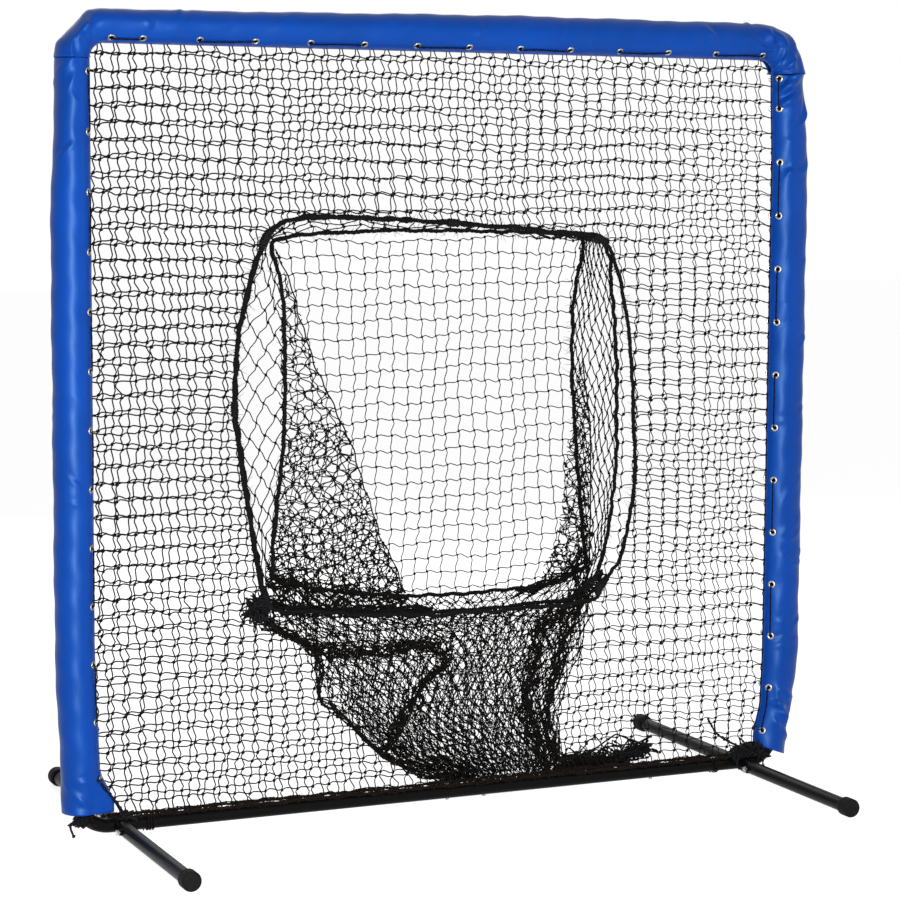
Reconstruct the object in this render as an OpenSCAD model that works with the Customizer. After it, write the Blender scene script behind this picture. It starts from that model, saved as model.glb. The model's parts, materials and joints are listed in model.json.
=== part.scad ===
// Pitching target net: a padded tube frame on four legs, two layers of netting with a roped mouth,
// and a net sock behind it that catches the balls. Origin on the floor below the middle of the frame,
// +Z up, the thrower stands towards -Y.

/* [Frame] */
// Width between the centre lines of the uprights
frame_width = 2110; // [2000:10:2300]
// Height of the top rail's centre line above the floor
top_height = 2110; // [2040:10:2300]
// Outer diameter of the frame tubes
tube_od = 38.1; // [36:0.1:40]
// Wall of the frame tubes
tube_wall = 2; // [1.6:0.1:2.6]
// Radius of a corner bend at the tube's centre line
bend_radius = 90; // [80:1:100]
// Straight length of a corner between its bend and the tube that it joins
bend_tail = 30; // [25:1:45]
// Length of the bottom corner along the rail, which carries the leg stubs
corner_run = 90; // [80:1:100]
// Length of a spigot inside its tube
spigot_length = 60; // [50:1:75]
// Gap round a spigot, sleeve or stub inside its tube
spigot_gap = 0.3; // [0.25:0.05:0.4]
// Wall of the spigots, sleeves and stubs
spigot_wall = 2; // [1.6:0.1:2.6]
// Place of the bottom rail's joint along X
rail_joint_x = 63; // [40:1:90]
// Distance from the bottom rail's joint to each bolt of its sleeve
rail_bolt_offset = 56; // [45:1:65]
// Place of the single bolt on the right half of the bottom rail
rail_end_bolt_x = 648; // [600:1:700]
// Distance from the top rail's joint to each bolt of its sleeve
top_bolt_offset = 30; // [25:1:40]
// Length of a sleeve beyond its bolts
sleeve_beyond = 24; // [20:1:30]

/* [Bolts] */
// Diameter of the frame bolts
bolt_d = 6; // [5:0.5:6.5]
// Height of a bolt head and of a nut
bolt_head_h = 4; // [3:0.1:4.3]
// Width of a bolt head and of a nut across its corners
bolt_head_d = 11.5; // [10:0.1:13]
// Gap round a bolt in its hole
bolt_gap = 0.3; // [0.2:0.05:0.5]
// Gap between flat faces that are pressed together
seat_gap = 0.1; // [0.05:0.05:0.2]

/* [Legs] */
// Distance from an upright's centre line to its legs
leg_inset = 115; // [110:1:120]
// Length from the frame's centre line to the end of a leg's cap
leg_reach = 609.6; // [560:0.2:660]
// Gap between the frame's centre line and the near end of a leg
leg_start = 22.5; // [22:0.1:26]
// Length of a stub inside its leg
stub_length = 118; // [105:1:140]
// Distance of the lock bolts from the frame's centre line
lock_y = 86; // [75:1:100]
// Diameter of the lock bolts
lock_d = 8; // [7:0.5:9]
// Diameter of the welded nut on the leg
lock_boss_d = 16; // [15:0.5:18]
// Height of the welded nut above the leg
lock_boss_h = 5; // [4:0.5:6]
// Width of a lock bolt's head across its corners
lock_head_d = 15; // [14:0.5:16]
// Height of a lock bolt's head
lock_head_h = 5.3; // [5:0.1:6]
// Length of a lock bolt's shank in sight below its head
lock_stand_off = 3; // [2:0.5:5]
// Running gap round a lock bolt
lock_gap = 0.05; // [0.04:0.01:0.08]

/* [Caps] */
// Outer diameter of the rubber caps
cap_od = 51; // [48:0.5:54]
// Length of a cap
cap_length = 46; // [40:1:55]
// Thickness of a cap's closed end
cap_end = 6; // [4:0.5:8]
// Depth of the flat that each cap stands on
foot_flat = 0.5; // [0.4:0.1:0.6]
// Rounding of a cap's edges
cap_round = 8; // [5:0.5:9]

/* [Pads] */
// Outer radius of a padded tube
pad_radius = 50; // [46:0.5:54]
// Thickness of the vinyl
vinyl = 1.2; // [1:0.1:1.5]
// Angle from the inboard side to where a flap leaves the round of the pad
flap_angle = 60; // [56:1:64]
// Distance from the tube's centre line to the edge of a flap
flap_reach = 53; // [52:0.5:58]
// Gap between the foam and what it touches
foam_gap = 0.3; // [0.2:0.1:0.5]
// Half width of the slit in the foam that the netting passes through
slit_half = 24; // [23:0.5:26]
// Height of the left cover's lower edge
left_hem_z = 70; // [60:1:80]
// Height of the right cover's lower edge at its outer side
right_hem_z = 41; // [35:1:60]
// Rise of the right cover's lower edge towards the net
right_hem_rise = 40; // [30:1:50]
// Radius of the bolt pockets in the foam
bolt_pocket_r = 9; // [8:0.5:11]

/* [Grommets and lacing] */
// Spacing of the grommets
grommet_pitch = 152.4; // [150:0.2:156]
// Outer diameter of a grommet
grommet_od = 22; // [20:0.5:23]
// Hole of a grommet
grommet_hole = 10; // [9.6:0.1:11]
// Distance from the tube's centre line to a grommet
grommet_reach = 38; // [37:0.5:40]
// Drop of the first left grommet below the top rail's centre line
left_first_drop = 124.5; // [120:0.5:130]
// Drop of the first right grommet below the top rail's centre line
right_first_drop = 187.6; // [180:0.2:195]
// Drop of the extra right grommet by the corner
right_extra_drop = 103; // [102:0.5:106]
// Distance from the left upright's centre line to the first grommet of the top row
top_first_inset = 185.7; // [183:0.1:193]
// Distance from the left upright's centre line to the extra top grommet by the corner
top_extra_inset = 102; // [102:0.5:107]
// Diameter of the lacing cord
lacing_d = 4.6; // [4:0.1:5]

/* [Netting] */
// Width and thickness of the netting's strands
strand = 2.6; // [2:0.1:2.8]
// Gap between the netting and the frame tubes
net_gap = 0.3; // [0.2:0.1:0.5]
// Half width of the bound edge round the mouth
mouth_edge = 3; // [2:0.5:5]
// Diameter of the border cord
border_cord_d = 8; // [6:0.5:9]
// Diameter of the lashing cord
lashing_w = 4; // [3:0.5:5]

/* [Ropes and sock] */
// Diameter of the mouth ropes and of the sock's rope
rope_d = 13; // [11:0.5:15]
// Gap between a rope and the netting that it binds
rope_gap = 0.3; // [0.2:0.1:0.5]
// Thickness of the sock's netting
sock_skin = 3; // [2:0.5:4]
// Width of the bound edge of the sock's back panel
panel_edge = 8; // [5:1:12]
// Openings across the sock's back panel
panel_columns = 8; // [4:1:12]
// Rows of openings in the sock's back panel
panel_rows = 8; // [4:1:12]
// Diameter of the ties between the ropes
tie_d = 5; // [4:0.5:6]
// Length of a taped band on a rope
band_length = 18; // [14:1:24]
// Thickness of a taped band
band_wall = 2.5; // [2:0.5:3]

/* [Hidden] */

$fn = 48;
bend_facets = 96;
eps = 1;

// Frame
half_width = frame_width / 2;
tube_r = tube_od / 2;
tube_bore_r = tube_r - tube_wall;
spigot_r = tube_bore_r - spigot_gap;
spigot_bore_r = spigot_r - spigot_wall;
rail_z = cap_od / 2 - foot_flat;
bend_x = half_width - bend_radius;
bend_low_z = rail_z + bend_radius;
bend_high_z = top_height - bend_radius;
upright_low_z = bend_low_z + bend_tail;
upright_high_z = bend_high_z - bend_tail;
top_rail_end_x = bend_x - bend_tail;
bottom_rail_end_x = bend_x - corner_run;
spigot_bolt = spigot_length / 2;
upright_bolt_z = [upright_low_z + spigot_bolt, upright_high_z - spigot_bolt];
top_bolt_x = [-top_rail_end_x + spigot_bolt, -top_bolt_offset, top_bolt_offset,
    top_rail_end_x - spigot_bolt];
sleeve_bolt_x = [rail_joint_x - rail_bolt_offset, rail_joint_x + rail_bolt_offset];
rail_bolt_x = concat(sleeve_bolt_x, [rail_end_bolt_x]);
top_sleeve_half = top_bolt_offset + sleeve_beyond;
rail_sleeve_half = rail_bolt_offset + sleeve_beyond;
bolt_hole_r = bolt_d / 2 + bolt_gap;
head_z = tube_r + seat_gap;
thread_end = 0.8;
nut_thread_gap = 0.15;

// Legs
leg_x = half_width - leg_inset;
stub_end = leg_start + stub_length;
stub_bore_r = spigot_bore_r - 1;
cap_neck_wall = 2.5;
cap_taper = 8;
cap_r = cap_od / 2;
leg_end = leg_reach - cap_end - spigot_gap;
lock_tip = spigot_r + spigot_gap;
lock_head_from = tube_r + lock_boss_h + lock_stand_off;

// Pads
flap_start = [pad_radius * cos(flap_angle), pad_radius * sin(flap_angle)];
flap_lap = 0.02;
flap_lap_angle = 1;
flap_length = (flap_reach - flap_start[0]) / sin(flap_angle);
grommet_along = (grommet_reach - flap_start[0]) / sin(flap_angle);
grommet_out = flap_start[1] - grommet_along * cos(flap_angle);
foam_r = pad_radius - vinyl - seat_gap;
tube_clear_r = tube_r + foam_gap;
corner_flat_gap = 0.9;
corner_flat = bend_radius + tube_r + corner_flat_gap + vinyl;
washer = 0.8;
barrel_wall = 0.8;
washer_gap = 0.2;
barrel_gap = 0.3;
back_washer_step = 1.5;
washer_chamfer = 0.5;
barrel_r = grommet_hole / 2 + barrel_wall;
back_washer_r = grommet_od / 2 - back_washer_step;
foam_reach = grommet_reach - back_washer_r * sin(flap_angle)
    - (vinyl + washer_gap + washer) * cos(flap_angle) - foam_gap;
hem_margin = 15;
hem_slope = atan(right_hem_rise / (pad_radius + flap_reach));
right_hem_at_grommet = right_hem_z + (pad_radius + grommet_reach) * tan(hem_slope);
top_first_x = top_first_inset - half_width;
top_extra_x = top_extra_inset - half_width;
left_first_z = top_height - left_first_drop;
right_first_z = top_height - right_first_drop;
left_count = floor((left_first_z - left_hem_z - hem_margin) / grommet_pitch) + 1;
right_count = floor((right_first_z - right_hem_at_grommet - hem_margin) / grommet_pitch) + 1;
top_count = floor((bend_x - top_first_x) / grommet_pitch) + 1;
left_grommets = [for (k = [0 : left_count - 1]) left_first_z - k * grommet_pitch];
right_grommets = concat([top_height - right_extra_drop],
    [for (k = [0 : right_count - 1]) right_first_z - k * grommet_pitch]);
top_grommets = concat([top_extra_x], [for (k = [0 : top_count - 1]) top_first_x + k * grommet_pitch]);
lacing_r = lacing_d / 2;
lacing_gap = 0.3;
lacing_out = grommet_out + (washer + washer_gap + lacing_r + lacing_gap) / sin(flap_angle);

// Netting
net_y = tube_r + net_gap;
net_bottom_z = rail_z + spigot_r + net_gap;
net_x0 = top_first_x + grommet_pitch / 2;
net_z0 = left_first_z - grommet_pitch / 2;
grid_first = ceil((-half_width - net_x0) / grommet_pitch);
grid_last = floor((half_width - net_x0) / grommet_pitch);
grid_rows = floor((net_z0 - net_bottom_z) / grommet_pitch);
grid_x = [for (k = [grid_first : grid_last]) net_x0 + k * grommet_pitch];
grid_z = [for (k = [0 : grid_rows]) net_z0 - k * grommet_pitch];
border_r = border_cord_d / 2;
border_y = net_y - net_gap - border_r;
border_z = net_bottom_z + border_r;
// Lashings: place of the first turn and number of turns
left_lashing_inset = 183;
right_lashing_inset = 209;
lashings = [[left_lashing_inset - half_width, 3], [half_width - right_lashing_inset, 2]];
lashing_pitch = 8;
lashing_steps = 24;
lashing_gap = 0.6;
lashing_steep = 0.01;
lashing_r = lashing_w / 2;

// Ropes: routes as [x, z] round the mouth and [x, y, z] round the back of the sock
rope_r = rope_d / 2;
rope_sides = 8;
rope_y = net_y + strand + rope_gap + rope_r;
mouth_front = [[-540, 1560], [-440, 1615], [-210, 1612], [5, 1600], [235, 1582], [452, 1555],
    [515, 1430], [542, 1300], [560, 1100], [565, 850], [522, 650], [460, 575],
    [415, 538], [-45, 530], [-440, 565], [-538, 598], [-592, 870], [-625, 1110], [-612, 1320]];
mouth_back = [[-515, 1556], [-415, 1612], [-185, 1610], [30, 1598], [260, 1580], [486, 1542],
    [515, 1420], [530, 1300], [538, 1106], [536, 880], [500, 652], [450, 570],
    [400, 538], [-20, 527], [-415, 563], [-515, 596], [-567, 870], [-600, 1110], [-588, 1320]];
sock_back = [[-480, 75, 1545], [-392, 90, 1566], [-150, 130, 1576], [100, 170, 1574],
    [330, 200, 1568], [515, 215, 1552], [512, 250, 1404], [512, 262, 1300], [515, 265, 1172],
    [530, 255, 911], [538, 235, 700], [538, 215, 600], [404, 190, 556], [170, 155, 552],
    [-25, 130, 558], [-230, 108, 580], [-392, 92, 614], [-478, 82, 662], [-444, 90, 987],
    [-438, 92, 1180], [-450, 86, 1420]];
mouth_centre = [-40, 1070];
wall_clear = rope_r + rope_gap;
panel_clear = 0.8;
wall_lift = sock_skin / 2 + 0.5;
// Lines at the mouth's corners that divide each layer of netting into four
net_top_split = 1552;
net_bottom_split = 600;
net_left_split = -520;
net_right_split = 440;

// Pocket: heights with the left end, right end, front, and back at the left and right ends
pocket_levels = [[520, -470, 500, 32, 97, 218], [450, -400, 505, 48, 105, 222],
    [360, -350, 480, 60, 125, 225], [250, -280, 425, 70, 140, 225], [190, -235, 420, 75, 150, 222],
    [90, -115, 430, 80, 155, 215], [40, 10, 432, 95, 165, 205], [8, 60, 415, 110, 170, 195]];
pocket_sides = 20;
pocket_round = 0.6;
// Tail: centre of each section, half width and half height
tail_start = pocket_levels[6][2] + rope_gap;
tail_stations = [[tail_start, 152, 30, 38, 17], [470, 164, 26, 48, 16], [530, 172, 21, 52, 13],
    [600, 186, 18, 50, 11], [680, 224, 16, 46, 9], [750, 270, 14, 42, 8], [805, 312, 12, 34, 6]];

// Helpers
function unit(v) = v / norm(v);
function wrap(i, n) = (i + n) % n;
function lerp(a, b, t) = a + (b - a) * t;
function towards(p, q, d) = p + unit(q - p) * d;
function part_of(list, from, to) = [for (i = [from : to]) list[i]];
function depth_points(list, y) = [for (p = list) [p[0], y, p[1]]];

// Directions into and out of point i of a route
function dir_in(p, i, closed) = let (n = len(p))
    i == 0 && !closed ? unit(p[1] - p[0]) : unit(p[i] - p[wrap(i - 1, n)]);
function dir_out(p, i, closed) = let (n = len(p))
    i == n - 1 && !closed ? unit(p[n - 1] - p[n - 2]) : unit(p[wrap(i + 1, n)] - p[i]);

// Point at a distance inside vertex i of a closed 2D route that runs clockwise
function inside_at(p, i, d) = let (
    a = dir_in(p, i, true),
    m = unit(a + dir_out(p, i, true)))
    p[i] + [m[1], -m[0]] * d / (a * m);

// One ring of a round tube at point i, cut on the mitre of the bend there
function tube_ring(p, i, r, sides, flat, closed) = let (
    d = dir_in(p, i, closed),
    m = unit(d + dir_out(p, i, closed)),
    e1 = unit(flat - d * (flat * d)),
    e2 = cross(d, e1))
    [for (j = [0 : sides - 1]) let (
        a = (j + 0.5) * 360 / sides,
        e = e1 * cos(a) + e2 * sin(a))
        p[i] + r * (e - d * ((e * m) / (d * m)))];

// Triangles between ring i and ring k, each of n points
function band_faces(i, k, n) = [for (j = [0 : n - 1]) each [
    [i * n + j, k * n + j, k * n + wrap(j + 1, n)],
    [i * n + j, k * n + wrap(j + 1, n), i * n + wrap(j + 1, n)]]];

// Triangles that close a ring, fanned from its first point
function fan_faces(i, n, turned) = [for (j = [1 : n - 2])
    turned ? [i * n, i * n + j + 1, i * n + j] : [i * n, i * n + j, i * n + j + 1]];

// Solid through a list of rings, closed at both ends
module loft(rings) {
    n = len(rings[0]);
    last = len(rings) - 1;
    polyhedron(
        points = [for (ring = rings) each ring],
        faces = concat([for (i = [0 : last - 1]) each band_faces(i, i + 1, n)],
            fan_faces(0, n, false), fan_faces(last, n, true)));
}

// Endless tube through a closed route
module closed_tube(route, r, sides, flat) {
    n = len(route);
    polyhedron(
        points = [for (i = [0 : n - 1]) each tube_ring(route, i, r, sides, flat, true)],
        faces = [for (i = [0 : n - 1]) each band_faces(i, wrap(i + 1, n), sides)]);
}

// Tube through an open route
module open_tube(route, r, sides, flat) {
    loft([for (i = [0 : len(route) - 1]) tube_ring(route, i, r, sides, flat, false)]);
}

// Triangles of one step of a thin wall, with both its skins split on the same diagonal
function wall_faces(i) = let (m = 4 * i, n = 4 * i + 4) [
    [m, n, n + 1], [m, n + 1, m + 1], [m + 1, n + 1, n + 2], [m + 1, n + 2, m + 2],
    [m + 2, n + 2, n + 3], [m + 2, n + 3, m + 3], [m + 3, n + 3, m], [n + 3, n, m]];

// Thin wall between two edges with as many points, thickened by a vector
module wall_between(edge_a, edge_b, thick) {
    last = len(edge_a) - 1;
    facing = cross(edge_a[1] - edge_a[0], edge_b[0] - edge_a[0]) * thick;
    a = facing > 0 ? edge_b : edge_a;
    b = facing > 0 ? edge_a : edge_b;
    polyhedron(
        points = [for (i = [0 : last]) each [a[i], a[i] + thick, b[i] + thick, b[i]]],
        faces = concat([for (i = [0 : last - 1]) each wall_faces(i)],
            fan_faces(0, 4, false), fan_faces(last, 4, true)));
}

// Cylinder between two points
module rod(p, q, r) {
    v = q - p;
    translate(p)
        rotate([0, acos(v[2] / norm(v)), atan2(v[1], v[0])])
            cylinder(h = norm(v), r = r);
}

module along_x(x0, x1, z, r) {
    translate([x0, 0, z]) rotate([0, 90, 0]) cylinder(h = x1 - x0, r = r);
}

module along_z(x, z0, z1, r) {
    translate([x, 0, z0]) cylinder(h = z1 - z0, r = r);
}

// Quarter of a ring about a bend's centre, from its 2D section at the bend radius
module quarter_bend(centre_x, centre_z, start) {
    translate([centre_x, 0, centre_z])
        rotate([-90, 0, 0])
            rotate([0, 0, start])
                rotate_extrude(angle = 90, $fn = bend_facets)
                    translate([bend_radius, 0]) children();
}

// Frame tubes
module hollow_x(x0, x1, z, outer, inner) {
    difference() {
        along_x(x0, x1, z, outer);
        along_x(x0 - eps, x1 + eps, z, inner);
    }
}

module bolt_holes_z(places, z) {
    for (x = places) translate([x, 0, z]) cylinder(h = 4 * tube_r, r = bolt_hole_r, center = true);
}

module bolt_holes_x(x, places) {
    for (z = places)
        translate([x, 0, z]) rotate([0, 90, 0]) cylinder(h = 4 * tube_r, r = bolt_hole_r, center = true);
}

module upright(side) {
    x = side * half_width;
    color("#15161a") difference() {
        along_z(x, upright_low_z, upright_high_z, tube_r);
        along_z(x, upright_low_z - eps, upright_high_z + eps, tube_bore_r);
        bolt_holes_x(x, upright_bolt_z);
    }
}

module top_rail(x0, x1) {
    color("#15161a") difference() {
        hollow_x(x0, x1, top_height, tube_r, tube_bore_r);
        bolt_holes_z(top_bolt_x, top_height);
    }
}

module bottom_rail(x0, x1) {
    color("#15161a") difference() {
        hollow_x(x0, x1, rail_z, tube_r, tube_bore_r);
        bolt_holes_z(rail_bolt_x, rail_z);
    }
}

module sleeve(middle, half, z, bolts) {
    color("#3a3b3f") difference() {
        hollow_x(middle - half, middle + half, z, spigot_r, spigot_bore_r);
        bolt_holes_z(bolts, z);
    }
}

// Corners are drawn for the left side and mirrored for the right
module corner_top() {
    x = -half_width;
    color("#15161a") difference() {
        union() {
            quarter_bend(-bend_x, bend_high_z, 180) circle(r = tube_r);
            along_z(x, upright_high_z, bend_high_z, tube_r);
            along_z(x, upright_high_z - spigot_length, bend_high_z, spigot_r);
            along_x(-bend_x, -top_rail_end_x, top_height, tube_r);
            along_x(-bend_x, -top_rail_end_x + spigot_length, top_height, spigot_r);
        }
        quarter_bend(-bend_x, bend_high_z, 180) circle(r = spigot_bore_r);
        along_z(x, upright_high_z - spigot_length - eps, bend_high_z, spigot_bore_r);
        along_x(-bend_x, -top_rail_end_x + spigot_length + eps, top_height, spigot_bore_r);
        bolt_holes_x(x, [upright_bolt_z[1]]);
        bolt_holes_z([top_bolt_x[0]], top_height);
    }
}

module leg_axis(x, y0, y1, r) {
    translate([x, y1, rail_z]) rotate([90, 0, 0]) cylinder(h = y1 - y0, r = r);
}

module corner_bottom() {
    x = -half_width;
    color("#15161a") difference() {
        union() {
            quarter_bend(-bend_x, bend_low_z, 90) circle(r = tube_r);
            along_z(x, bend_low_z, upright_low_z, tube_r);
            along_z(x, bend_low_z, upright_low_z + spigot_length, spigot_r);
            along_x(-bend_x, -bottom_rail_end_x, rail_z, tube_r);
            along_x(-bend_x, -bottom_rail_end_x + spigot_length, rail_z, spigot_r);
            leg_axis(-leg_x, -stub_end, stub_end, spigot_r);
        }
        quarter_bend(-bend_x, bend_low_z, 90) circle(r = spigot_bore_r);
        along_z(x, bend_low_z, upright_low_z + spigot_length + eps, spigot_bore_r);
        along_x(-bend_x, -bottom_rail_end_x + spigot_length + eps, rail_z, spigot_bore_r);
        leg_axis(-leg_x, -stub_end - eps, stub_end + eps, stub_bore_r);
        bolt_holes_x(x, [upright_bolt_z[0]]);
    }
}

// Bolts lie along Z, with the head up
module frame_bolt() {
    low = -head_z - bolt_head_h - thread_end;
    translate([0, 0, head_z]) cylinder(h = bolt_head_h, d = bolt_head_d, $fn = 6);
    translate([0, 0, low]) cylinder(h = head_z - low + seat_gap, d = bolt_d);
}

module frame_nut() {
    translate([0, 0, -head_z - bolt_head_h]) difference() {
        cylinder(h = bolt_head_h, d = bolt_head_d, $fn = 6);
        translate([0, 0, -eps]) cylinder(h = bolt_head_h + 2 * eps, d = bolt_d + 2 * nut_thread_gap);
    }
}

module at_frame_bolts() {
    for (x = rail_bolt_x) translate([x, 0, rail_z]) children();
    for (x = top_bolt_x) translate([x, 0, top_height]) children();
    for (side = [-1, 1]) for (z = upright_bolt_z)
        translate([side * half_width, 0, z]) rotate([0, side * 90, 0]) children();
}

// Pads. A section has the net side towards +X and its tube at the origin.
module foam_section() {
    difference() {
        circle(r = foam_r);
        circle(r = tube_clear_r);
        translate([0, -slit_half]) square([2 * foam_r, 2 * slit_half]);
        translate([foam_reach, -foam_r]) square([foam_r, 2 * foam_r]);
    }
}

// Each flap starts under the last degree of the round, a hair proud of it
module cover_section() {
    far = 2 * pad_radius;
    a = flap_angle - flap_lap_angle;
    difference() {
        circle(r = pad_radius);
        circle(r = pad_radius - vinyl);
        polygon([[0, 0], far * [cos(a), sin(a)], [far, far * sin(a)],
            [far, -far * sin(a)], far * [cos(a), -sin(a)]]);
    }
    translate(flap_start) rotate(flap_angle - 90)
        translate([0, flap_lap - vinyl]) square([flap_length, vinyl]);
    translate([flap_start[0], -flap_start[1]]) rotate(90 - flap_angle)
        translate([0, -flap_lap]) square([flap_length, vinyl]);
}

// Lays a piece drawn along Z, with the net towards +X, on one of the padded tubes
module on_left() {
    translate([-half_width, 0, 0]) children();
}

module on_right() {
    translate([half_width, 0, 0]) mirror([1, 0, 0]) children();
}

module on_top() {
    translate([0, 0, top_height]) rotate([0, 90, 0]) children();
}

module foam(low, high, pockets) {
    color("#2b2d33") difference() {
        translate([0, 0, low]) linear_extrude(high - low) foam_section();
        for (z = pockets)
            translate([0, 0, z]) rotate([0, -90, 0]) cylinder(h = 2 * pad_radius, r = bolt_pocket_r);
    }
}

// Lays a piece drawn along Z at each grommet, square to the flap, origin on the flap's outer face
module at_grommets(places) {
    for (z = places) for (s = [0, 1]) mirror([0, s, 0])
        translate([grommet_reach, grommet_out, z]) rotate([-90, 0, flap_angle - 90]) children();
}

module grommet_holes(places) {
    at_grommets(places) cylinder(h = 6 * vinyl, r = barrel_r + barrel_gap, center = true);
}

module side_cover(low, places) {
    difference() {
        translate([0, 0, low]) linear_extrude(bend_high_z - seat_gap - low) cover_section();
        grommet_holes(places);
    }
}

module cover_left() {
    color("#1d50c0") on_left() side_cover(left_hem_z, left_grommets);
}

module cover_right() {
    reach = 4 * pad_radius;
    color("#1d50c0") on_right() difference() {
        side_cover(right_hem_z, right_grommets);
        translate([-pad_radius, -reach / 2, right_hem_z]) rotate([0, -hem_slope, 0])
            translate([-reach / 2, 0, -reach]) cube([2 * reach, reach, reach]);
    }
}

module corner_skin() {
    quarter_bend(-bend_x, bend_high_z, 180) rotate(180) cover_section();
}

// The vinyl is drawn flat over the left bend
module corner_skin_flat() {
    reach = 4 * pad_radius;
    intersection() {
        corner_skin();
        below_flat(corner_flat, reach);
    }
    intersection() {
        quarter_bend(-bend_x, bend_high_z, 180) circle(r = pad_radius);
        difference() {
            below_flat(corner_flat, reach);
            below_flat(corner_flat - vinyl, 2 * reach);
        }
    }
}

module below_flat(distance, reach) {
    translate([-bend_x, 0, bend_high_z]) rotate([0, -45, 0])
        translate([-reach, -reach, distance - 2 * reach]) cube([2 * reach, 2 * reach, 2 * reach]);
}

module cover_top() {
    color("#1d50c0") difference() {
        union() {
            corner_skin_flat();
            mirror([1, 0, 0]) corner_skin();
            on_top() translate([0, 0, -bend_x]) linear_extrude(2 * bend_x) cover_section();
        }
        on_top() grommet_holes(top_grommets);
    }
}

// Front washer, barrel through the vinyl and back washer in one turned piece
module grommet() {
    bore = grommet_hole / 2;
    outer = grommet_od / 2;
    back = -vinyl - washer_gap;
    rotate_extrude() polygon([[bore, back - washer], [back_washer_r, back - washer],
        [back_washer_r, back], [barrel_r, back], [barrel_r, washer_gap], [outer, washer_gap],
        [outer - washer_chamfer, washer_gap + washer], [bore, washer_gap + washer]]);
}

module grommets(places) {
    color("#c9ccd1") at_grommets(places) grommet();
}

// Running stitch: through one grommet pair, along the pad, and back through the next
function stitch(places) = [for (k = [0 : len(places) - 1]) let (side = k % 2 == 0 ? 1 : -1) each [
    [grommet_reach, side * lacing_out, places[k]], [grommet_reach, -side * lacing_out, places[k]]]];

module lacing(places) {
    color("#111216") open_tube(stitch(places), lacing_r, 8, [1, 0, 0]);
}

// Netting in the XZ plane
module rounded_frame(inset) {
    x = half_width - inset;
    z0 = rail_z + inset;
    z1 = top_height - inset;
    translate([-x, bend_low_z]) square([2 * x, bend_high_z - bend_low_z]);
    translate([-bend_x, z0]) square([2 * bend_x, z1 - z0]);
    for (sx = [-bend_x, bend_x]) for (cz = [bend_low_z, bend_high_z])
        translate([sx, cz]) circle(r = bend_radius - inset, $fn = bend_facets);
}

module net_region(x0, x1, z0, z1, points) {
    intersection() {
        difference() {
            union() {
                for (x = grid_x) if (x > x0 && x < x1)
                    translate([x - strand / 2, z0]) square([strand, z1 - z0]);
                for (z = grid_z) if (z > z0 - strand && z < z1)
                    translate([x0, max(z - strand / 2, z0)]) square([x1 - x0, strand]);
                translate([x0, z0]) square([x1 - x0, strand]);
                difference() {
                    translate([x0, z0]) square([x1 - x0, z1 - z0]);
                    rounded_frame(strand);
                }
                intersection() {
                    translate([x0, z0]) square([x1 - x0, z1 - z0]);
                    polygon([for (i = [0 : len(points) - 1]) inside_at(points, i, -mouth_edge)]);
                }
            }
            polygon([for (i = [0 : len(points) - 1]) inside_at(points, i, mouth_edge)]);
        }
        rounded_frame(0);
    }
}

module net_layer(side, x0, x1, z0, z1, points) {
    y = side > 0 ? net_y + strand : -net_y;
    color("#1a1512") translate([0, y, 0]) rotate([90, 0, 0])
        linear_extrude(strand) net_region(x0, x1, z0, z1, points);
}

module net_top(side, points) {
    net_layer(side, -half_width, half_width, net_top_split, top_height, points);
}

module net_bottom(side, points) {
    net_layer(side, -half_width, half_width, net_bottom_z, net_bottom_split, points);
}

module net_left(side, points) {
    net_layer(side, -half_width, net_left_split, net_bottom_split, net_top_split, points);
}

module net_right(side, points) {
    net_layer(side, net_right_split, half_width, net_bottom_split, net_top_split, points);
}

// Ropes
module mouth_rope(route, y) {
    color("#141416") closed_tube(depth_points(route, y), rope_r, rope_sides, [0, 1, 0]);
}

module sock_rope() {
    color("#141416") closed_tube(sock_back, rope_r, rope_sides, [0, 1, 0]);
}

// A taped band round the middle of one stretch of the front rope, open where the netting lies
module band(i) {
    p = depth_points(mouth_front, -rope_y);
    middle = (p[i] + p[i + 1]) / 2;
    along = unit(p[i + 1] - p[i]);
    reach = 2 * band_length;
    difference() {
        rod(middle - along * band_length / 2, middle + along * band_length / 2,
            rope_r + rope_gap + band_wall);
        rod(middle - along * band_length, middle + along * band_length, rope_r + rope_gap);
        translate([middle[0] - reach, -net_y - strand - rope_gap, middle[2] - reach])
            cube(2 * reach);
    }
}

// A cord from the front rope to the back rope, just inside the mouth. The end that the cord slants
// away from is set further in, so that the cord passes its rope with the same gap.
module tie(i) {
    clear = rope_r + rope_gap + tie_d / 2;
    slant = atan(norm(mouth_back[i] - mouth_front[i]) / (2 * rope_y));
    inward = norm(mouth_back[i] - mouth_centre) < norm(mouth_front[i] - mouth_centre);
    a = inside_at(mouth_front, i, inward ? clear : clear / cos(slant));
    b = inside_at(mouth_back, i, inward ? clear / cos(slant) : clear);
    rod([a[0], -rope_y, a[1]], [b[0], rope_y, b[1]], tie_d / 2);
}

module rope_ties() {
    color("#1c1c1f") {
        for (i = [0, 5, 11, 15]) tie(i);
        for (i = [2, 8, 13, 16]) band(i);
    }
}

// Sock. A wall starts straight behind the mouth's rope and ends straight before the sock's rope,
// with its line midway in its thickness.
module sock_wall(front_edge, back_edge, thick) {
    step = [0, wall_clear, 0];
    color("#1a1512") wall_between(
        [for (p = front_edge) p + step - thick / 2],
        [for (p = back_edge) p - step - thick / 2], thick);
}

module sock_left_wall() {
    front = depth_points(mouth_back, rope_y);
    sock_wall([for (i = [15, 16, 17, 18, 0]) front[i]],
        [for (i = [17, 18, 19, 20, 0]) sock_back[i]], [-sock_skin, 0, 0]);
}

module sock_right_wall() {
    front = depth_points(mouth_back, rope_y);
    sock_wall(part_of(front, 5, 11), part_of(sock_back, 5, 11), [sock_skin, 0, 0]);
}

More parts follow.
